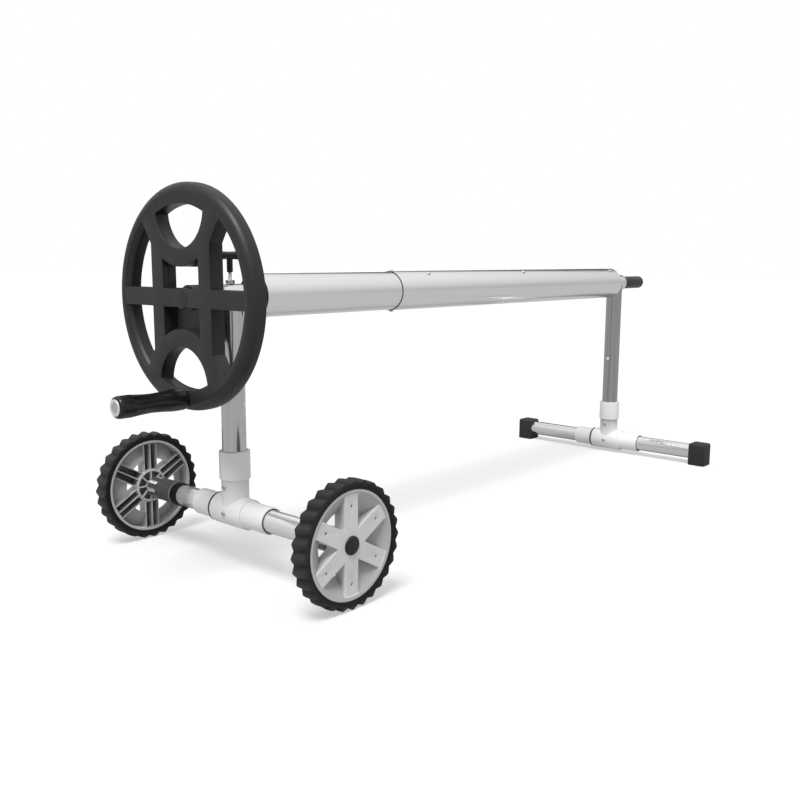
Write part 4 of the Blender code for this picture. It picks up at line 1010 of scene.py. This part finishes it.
def makeTyre(name, spot, side, crown):
    # Grid over turn u and width share s. Lug wave w is a triangle of phase n u / 2pi + skew s with a
    # rounded crest; radius = crown - sag s^2 - depth (1 - w). Each side ends in a bead next to the rim.
    t = tyre
    turn = fullTurn(t.lugs * t.perLug)[:, None]
    share = np.linspace(-1.0, 1.0, t.across)[None, :]
    phase = t.lugs * turn / (2 * pi) + t.skew * share + 0.5
    wave = 1 - np.abs(2 * (phase % 1.0) - 1)
    wave = np.minimum(wave * 1.10, 0.82 + 0.18 * np.sin(pi * np.clip(wave, 0.5, 1.0) - pi / 2))
    radius = crown - t.sag * share ** 2 - t.depth * (1 - wave)
    along = t.wide * share * (0.965 + 0.035 * wave)

    def shoulder(end, column):
        # Five rings (radius, end * half width) from the seat over the bead to the tread's edge
        top = t.wide * (0.93 + 0.04 * wave[:, column:][:, :1])
        rows = [
            (t.seat, t.bead - 0.001), (t.seat + 0.0012, t.bead), (t.seat + 0.0036, t.bead + 0.0004),
            (t.shoulder, t.shoulderHalf), (t.shoulder + 0.0012, top)]
        return [(r + 0 * turn, end * a + 0 * turn) for r, a in rows]

    columns = [*shoulder(-1, 0), (radius, along), *shoulder(1, t.across - 1)[::-1]]
    radii, spans = (np.concatenate(grids, 1) for grids in zip(*columns))
    points = np.stack([radii * np.cos(turn), side * spans, radii * np.sin(turn)], -1) + np.array(spot)
    piece = settled(fromGrid(name, points, True), 30.0)
    offset = pointsOf(piece) - np.array(spot)
    reach = np.hypot(offset[:, 0], offset[:, 2])
    marked(piece, "rise", (reach - (crown - t.depth)) / t.depth)
    marked(piece, "bead", (t.shoulder + 0.0004 - reach) / 0.0006)
    return piece


rim = Settings(
    outer=0.0865, ring=0.082, dish=0.052, half=0.0125, dishFloor=-0.008, web=0.0038, spokes=6,
    spokeWidth=0.028, face=0.0105, skin=0.003, rib=0.0020, hole=0.0615, holeRadius=0.002,
    holeDepth=0.002, boss=0.02979, well=0.01149, wellFloor=-0.0015, innerFace=-0.0128, wall=0.0015,
    hubRibs=8, hubRib=0.0022, hubWall=0.0026, core=0.0105, pin=0.0063, channelStart=0.0012,
    channelEnd=0.0015, beyond=0.03, blockTop=-0.02, shadeBehind=0.60, shadeInner=0.22, shadeCone=0.44,
    shadeLip=0.22)


def starOutline():
    # Parallel-sided spokes; neighbours meet at the hub and their ends sink into the ring
    step = 2 * pi / rim.spokes
    reach = rim.ring + 0.002
    lean = asin(rim.spokeWidth / 2 / reach)
    fork = rim.spokeWidth / 2 / sin(step / 2)
    parts = []
    for i in range(rim.spokes):
        between = (i + 0.5) * step
        parts.append(arc(reach, i * step - lean, i * step + lean, 4))
        parts.append([(fork * cos(between), fork * sin(between))])
    return np.concatenate(parts)


def makeStar():
    # Flat moulding with a blind hole in each spoke's face
    plate, step = Terrace(), 2 * pi / rim.spokes
    face, back = plate.shaft(starOutline(), rim.face, 0.0008 - rim.half, 0.0007, -1.0)
    holes = []
    for i in range(rim.spokes):
        spot = (rim.hole * cos(i * step), rim.hole * sin(i * step))
        edge = arc(rim.holeRadius, 0, 2 * pi, 20, spot)[:-1]
        top, floor = plate.shaft(edge, rim.face, rim.face - rim.holeDepth, 0.0004)
        plate.flat(floor)
        holes.append(top)
    plate.flat(face, *holes)
    plate.flat(back)
    return plate.made("star", "Y", origin)


def makePockets():
    # What the inner side lacks: two channels from hub to ring in each spoke, and eight pockets in the hub
    r, blocks = rim, Terrace()

    def block(outline, depth):
        # A straight-sided block over the outline, from the top of all blocks to depth
        outline = anticlockwise(outline)
        top, floor = blocks.outline(outline, r.blockTop), blocks.outline(outline, depth)
        blocks.wall(top, floor)
        blocks.flat(top)
        blocks.flat(floor)

    step = 2 * pi / r.spokes
    width = (r.spokeWidth - 2 * r.wall - r.rib) / 2
    for i in range(r.spokes):
        c, s = cos(i * step), sin(i * step)
        for side in (-1, 1):
            low = side * (r.rib + width) / 2 - width / 2
            corners = rectangle(r.boss + r.channelStart, low, r.ring - r.channelEnd, low + width)
            block(np.array(corners) @ np.array([[c, s], [-s, c]]), r.face - r.skin)
    step = 2 * pi / r.hubRibs
    outside = r.boss - r.hubWall
    wide = step / 2 - asin(r.hubRib / 2 / outside)
    narrow = step / 2 - asin(r.hubRib / 2 / r.core)
    for i in range(r.hubRibs):
        between = (i + 0.5) * step
        outer = arc(outside, between - wide, between + wide, 10)
        inner = arc(r.core, between + narrow, between - narrow, 4)
        block(np.concatenate([outer, inner]), r.wellFloor - r.skin)
    return blocks.made("pockets", "Y", origin)


def paintRimShade(piece):
    # Marks painted shade, 0 to 1: deep in channels, hub pockets and blind holes, less so on the inner side,
    # the cone and the ring's lip
    r, spots = rim, pointsOf(piece)
    facing = readFrom(piece.data.vertices, "normal", 3)[:, 1]
    depth, reach = spots[:, 1], np.hypot(spots[:, 0], spots[:, 2])
    sector = 2 * pi / r.spokes
    turn = (np.arctan2(spots[:, 0], spots[:, 2]) + sector / 2) % sector - sector / 2
    across, edge = np.abs(reach * np.sin(turn)), r.spokeWidth / 2
    onSpoke = (reach > r.boss + 0.001) & (reach < r.ring - 0.001)
    inChannel = onSpoke & (across < edge - r.wall + 0.0002) & (across > r.rib / 2 - 0.0002)
    inChannel &= depth < r.face - r.skin + 0.0002
    inPocket = (reach < r.boss - r.hubWall + 0.0002) & (reach > 0.009)
    inPocket &= depth < r.wellFloor - r.skin + 0.0005
    sunk = np.clip((depth - r.innerFace - 0.0006) / 0.006, 0, 1)
    inHole = (depth > r.face - r.holeDepth - 0.0003) & (depth < r.face - 0.0006)
    inHole &= np.abs(reach - r.hole) < 0.003
    outside = (reach > r.dish - 0.001) & (reach < r.ring + 0.0004)
    offCone = depth - r.dishFloor - (reach - r.dish) * (r.half - r.dishFloor) / (r.ring - r.dish)
    onCone = outside & (np.abs(offCone) < 0.0006) & (np.abs(depth - r.face) > 0.001)
    onLip = (reach > r.ring + 0.0004) & (depth > r.face + 0.0008)
    sideWall = onSpoke & (depth < 0.0) & (across > edge - r.wall - 0.0003) & (across < edge + 0.0004)
    shade = np.select(
        [outside & (facing < -0.2) | sideWall, onCone, facing < -0.2, onLip],
        [r.shadeBehind, r.shadeCone, r.shadeInner, r.shadeLip])
    marked(piece, "paintedLight", np.maximum(np.maximum(sunk * (inChannel | inPocket), 0.9 * inHole), shade))


def makeRim():
    # Ring and cone: one lathe; star and hub are joined to it, then the axle's well and the pockets are cut
    r = rim
    section = eased([
        (r.dish, r.dishFloor, 0.0008), (r.dish, r.dishFloor - r.web, 0.0008), (r.ring, r.half - r.web),
        (r.ring, -r.half, 0.0008), (r.outer, -r.half), (r.outer, r.half), (r.ring, r.half)], 0.001)
    wheel = lathe("rimMaster", section, "Y", origin, 160, phase=pi / 160)
    hub = eased([(0, r.innerFace), (r.boss, r.innerFace, 0.0007), (r.boss, 0.0), (0, 0.0)], 0.0005)
    well = drill("Y", origin, -r.beyond, (r.pin, r.wellFloor), (r.well, r.beyond), facets=64)
    carved(wheel, "UNION", makeStar(), lathe("boss", hub, "Y", origin))
    carved(wheel, "DIFFERENCE", well, makePockets())
    settled(wheel, 32.0, 2e-6)
    paintRimShade(wheel)
    return wheel


cap = Settings(radius=0.01499, height=0.0036, skirt=0.0112, plug=0.003)
axle = Settings(
    collar=0.0208, collarLength=0.017, lip=0.0223, lipWidth=0.003, waist=0.0203, slots=8,
    slotWidth=0.0065, slotLength=0.024, slotFloor=0.0148, core=0.0157, spacer=0.0105,
    spacerLength=0.0148, pin=0.0063, spigot=0.0172, embedded=0.030)


def makeBarrel(name, start, end):
    # Lipped barrel with eight slots open at its far end, then a thin spacer. Slot mask: a smooth step of
    # the distance from the slot's line times one of the distance from its rounded inner end.
    p, turn = axle, fullTurn(400)
    lip, barrel, thin = start + p.lipWidth, end - p.spacerLength, p.slotWidth / 2
    shares = np.concatenate([[0.004, 0.03, 0.1, 0.25, 0.4, 0.5, 0.56], np.linspace(0.60, 1.0, 40)])
    rows = [
        (p.pin, start + 0.0001), (p.lip - 0.0007, start + 0.0001), (p.lip, start + 0.0008),
        (p.lip, lip - 0.0009), (p.lip - 0.0005, lip)]
    rows += [
        (p.collar - (p.collar - p.waist) * sin(pi * t), lip + (barrel - lip) * t) for t in shares]
    step = 2 * pi / p.slots
    offset = np.abs((turn + step / 2) % step - step / 2) * p.collar
    bulge = np.sqrt(np.maximum(thin ** 2 - offset ** 2, 0.0))
    beside = np.clip((thin - offset) / 0.0005, 0, 1)
    loops = []
    for radius, along in rows:
        inward = along - (barrel - p.slotLength)
        if radius > p.slotFloor and inward > -0.004:
            inSlot = beside * np.clip((inward + bulge - thin) / 0.0006 + 0.5, 0, 1)
            radius = radius - (radius - p.slotFloor) * inSlot
        loops.append(ringPoints(radius, turn, along))
    loops += [ringPoints(radius, turn, along) for radius, along in (
        (p.spacer, barrel), (p.spacer, end - 0.0005), (p.spacer - 0.0005, end), (p.pin, end))]
    piece = fromGrid(name, np.stack(loops), True)
    # Painted highlight: the slots' walls and floors are painted near white, for the bright glints in the
    # slots
    reach = np.hypot(*pointsOf(piece)[:, :2].T)
    marked(piece, "paintedLight", (p.waist - 0.0006 - reach) / 0.002)
    return piece


def makeAxle(prefix, x, side):
    # Collar in the tube's end, barrel and its pale core, each a lathe along the axle
    p, plug = axle, prefix + "_axle_plug"
    inner, outer = sorted(side * y for y in span(plug, "Y"))
    start = inner + p.embedded
    face, slotEnd = start + p.collarLength, outer - p.spacerLength
    profile = eased([
        (p.pin, inner), (p.spigot, inner), (p.spigot, start, 0.0), (p.collar, start, 0.0012),
        (p.collar, face, 0.0004), (p.pin, face)], 0.0006)
    coreStart, coreEnd = slotEnd - p.slotLength + 0.0006, slotEnd - 0.0008
    coreProfile = [(p.pin, coreStart), (p.core, coreStart), (p.core, coreEnd), (p.pin, coreEnd)]
    collar = lathe(prefix + "AxleCollar", profile, "Z", origin)
    barrel = makeBarrel(prefix + "AxleBarrel", face, outer)
    core = lathe(prefix + "AxleCore", coreProfile, "Z", origin)
    for piece, finish in ((collar, collarBlack), (barrel, barrelGrey), (core, fittingWhite)):
        spots = laidAlong(pointsOf(piece), "Y") * np.array((1.0, side, 1.0)) + np.array((x, 0.0, nearBase))
        piece.data.vertices.foreach_set("co", spots.ravel())
        dressed(settled(piece), finish, plug)
    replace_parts(barrel, plug)


def makeRoadWheels():
    # Both wheels from one rim, the front one turned half round, with tyre, cap and axle
    master, base, wide = makeRim(), rim.face + seat, cap.radius
    for prefix, side, turn in (("front", -1, pi), ("rear", 1, 0.0)):
        spot = middle(prefix + "_rim")
        centre = (spot.x, spot.y + side * seat / 2, nearBase)
        wheel = copied(master, prefix + "WheelRim", centre, Matrix.Rotation(turn, 4, "Z"))
        placed(wheel, rimGrey, prefix + "_rim")
        tyrePiece = makeTyre(prefix + "WheelTyre", centre, side, half(prefix + "_tyre", "Z"))
        placed(tyrePiece, rubberTyre, prefix + "_tyre")
        turnedPiece(prefix + "_hub_cap", prefix + "HubCapDisc", gripBlack, "Y", centre, [
            (0, base - cap.plug), (cap.skirt, base - cap.plug), (cap.skirt, base, 0), (wide, base, 0.0004),
            (wide, base + 0.0016, 0.0014), (wide * 0.80, base + cap.height, 0.004),
            (0, base + cap.height)], 0.001, 80, side, 6)
        makeAxle(prefix, spot.x, side)
    bpy.data.objects.remove(master, do_unlink=True)


makeRoadWheels()
print("road wheels made")

# Feet

foot = Settings(ease=0.006, soleEase=0.0015)


def makeFoot(prefix):
    # A block with rounded edges, the sole's less, and a blind socket for the tube
    node, name = prefix + "_foot", prefix + "FootBlock"
    low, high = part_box(node)
    centre, block = (low + high) / 2, bmesh.new()
    bmesh.ops.create_cube(block, size=1.0, matrix=Matrix.LocRotScale(centre, None, high - low))
    top = [e for e in block.edges if max(v.co.z for v in e.verts) > centre.z]
    bmesh.ops.bevel(block, geom=top, offset=foot.ease, segments=6, profile=0.5, affect="EDGES")
    sole = [e for e in block.edges if max(v.co.z for v in e.verts) < low.z + 1e-5]
    sole = [e for e in sole if e.calc_length() > 0.001]
    bmesh.ops.bevel(block, geom=sole, offset=foot.soleEase, segments=3, profile=0.5, affect="EDGES")
    mesh = bpy.data.meshes.new(name)
    block.to_mesh(mesh)
    block.free()
    tubeEnd = span("far_base_tube", "Y")[1] + seat
    socket = drill("Y", (centre.x, 0.0, farBase), -tubeEnd, (baseBore, tubeEnd))
    piece = settled(carved(asPiece(name, mesh), "DIFFERENCE", socket), 32.0)
    placed(inOrder(piece), rubberBlack, node)  # the Boolean's own order changes from run to run


makeFoot("front")
makeFoot("rear")

for node in ("front_axle_pin", "rear_axle_pin", "front_axle_nut", "rear_axle_nut", "lock_pad"):
    mesh = frame["nodes"][node].data
    mesh.materials.clear()
    mesh.materials.append(zinc)
print("feet made")

# Stage: floor, light and camera

stage = Settings(
    floorSize=30.0, floorColour=0.50, floorGlow=0.44, surroundings=0.48, sunTurn=206.0, sunHeight=64.0,
    sunWidth=24.0, sunLight=2.6, lowGrey=0.62, skyRise=(-0.05, 0.90), farGrey=0.10, backGrey=0.88,
    wallSide=(0.05, 0.35), wallTop=(0.05, 0.30), wallEnd=(0.35, 0.65), beamGrey=0.8, beamPlace=0.12,
    beamWidth=(0.03, 0.07), beamSide=(0.50, 0.62), beamHeight=(0.4, 0.6), behind=(0.748, 0.664),
    behindEdge=(0.80, 0.92), behindDark=0.94)


def pointing(turn, height):
    # The direction (cos t cos h, sin t cos h, sin h)
    return Vector((cos(turn) * cos(height), sin(turn) * cos(height), sin(height)))


def makeFloor():
    # The floor keeps the shadow; its glow for the camera lifts lit floor to white
    size = stage.floorSize
    mesh = bpy.data.meshes.new("floor")
    corners = [(x, y, 0) for x, y in rectangle(-size, -size, size, size)]
    mesh.from_pydata(corners, [], [(0, 1, 2, 3)])
    floor = asPiece("floor", mesh)
    made = material("pale floor")
    glow = made.rays("Camera").atLeast(made.rays("Transmission")) * stage.floorGlow
    floor.data.materials.append(made.done(
        Base_Color=stage.floorColour, Roughness=0.9, Specular_IOR_Level=0.0, Emission_Color=1.0,
        Emission_Strength=glow))


def makeWorld():
    # White for the camera, plain soft light on the object. Mirror-like metal sees white overhead and
    # towards the hand wheel, a grey wall at the far front, a dark one at the far back and a thin dark beam.
    s, world = stage, bpy.data.worlds.new("studio")
    bpy.context.scene.world = world
    made = Recipe(world, "Background")
    coords = {0: made.value("ShaderNodeTexCoord", output="Generated")}
    x, y, z = (made.value("ShaderNodeSeparateXYZ", None, coords, axis) for axis in "XYZ")
    walls = (y * -1.0).stepUp(*s.wallSide) * s.farGrey + y.stepUp(*s.wallSide) * s.backGrey
    walls = walls * (1.0 - z.stepUp(*s.wallTop)) * x.stepUp(*s.wallEnd)
    beam = 1.0 - abs(x + s.beamPlace).stepUp(*s.beamWidth)
    beam = beam * y.stepUp(*s.beamSide) * z.stepUp(*s.beamHeight)
    ahead = x * s.behind[0] + y * s.behind[1]
    dark = ahead.stepUp(*s.behindEdge) * s.behindDark
    sky = (z.stepUp(*s.skyRise, s.lowGrey) - walls - beam * s.beamGrey).atLeast(0.0) * (1.0 - dark)
    seen = made.rays("Camera").atLeast(made.rays("Transmission"))
    lit = made.rays("Diffuse") * s.surroundings
    made.done(Color=1.0, Strength=seen.atLeast(sky * made.rays("Glossy")).atLeast(lit))


def makeSun():
    # One broad soft light
    toward = pointing(radians(stage.sunTurn), radians(stage.sunHeight))
    light = bpy.data.lights.new("softSun", "SUN")
    light.energy, light.angle = stage.sunLight, radians(stage.sunWidth)
    lamp = asPiece("softSun", light)
    lamp.rotation_euler = toward.to_track_quat("Z", "Y").to_euler()
    lamp.location = toward * 3.0


view = Settings(
    lens=40.03, sensor=36.0, nearest=0.05, spot=(-1.53082, -1.19142, 0.52986), turn=41.58745,
    pitch=-9.02745, roll=0.24718)


def makeCamera():
    # Looks where turn and pitch point, then rolls about that line
    turn, pitch, roll = (radians(angle) for angle in (view.turn, view.pitch, view.roll))
    forward = pointing(turn, pitch)
    right = Vector((sin(turn), -cos(turn), 0.0))
    up = right.cross(forward)
    rolledRight = cos(roll) * right + sin(roll) * up
    rolledUp = cos(roll) * up - sin(roll) * right
    lens = bpy.data.cameras.new("photoCamera")
    lens.lens, lens.sensor_width, lens.clip_start = view.lens, view.sensor, view.nearest
    camera = asPiece("photoCamera", lens)
    axes = Matrix((rolledRight, rolledUp, -forward)).transposed().to_4x4()
    camera.matrix_world = Matrix.Translation(view.spot) @ axes
    bpy.context.scene.camera = camera


makeFloor()
makeWorld()
makeSun()
makeCamera()
bpy.context.scene.view_settings.view_transform = "Standard"
print("stage made")
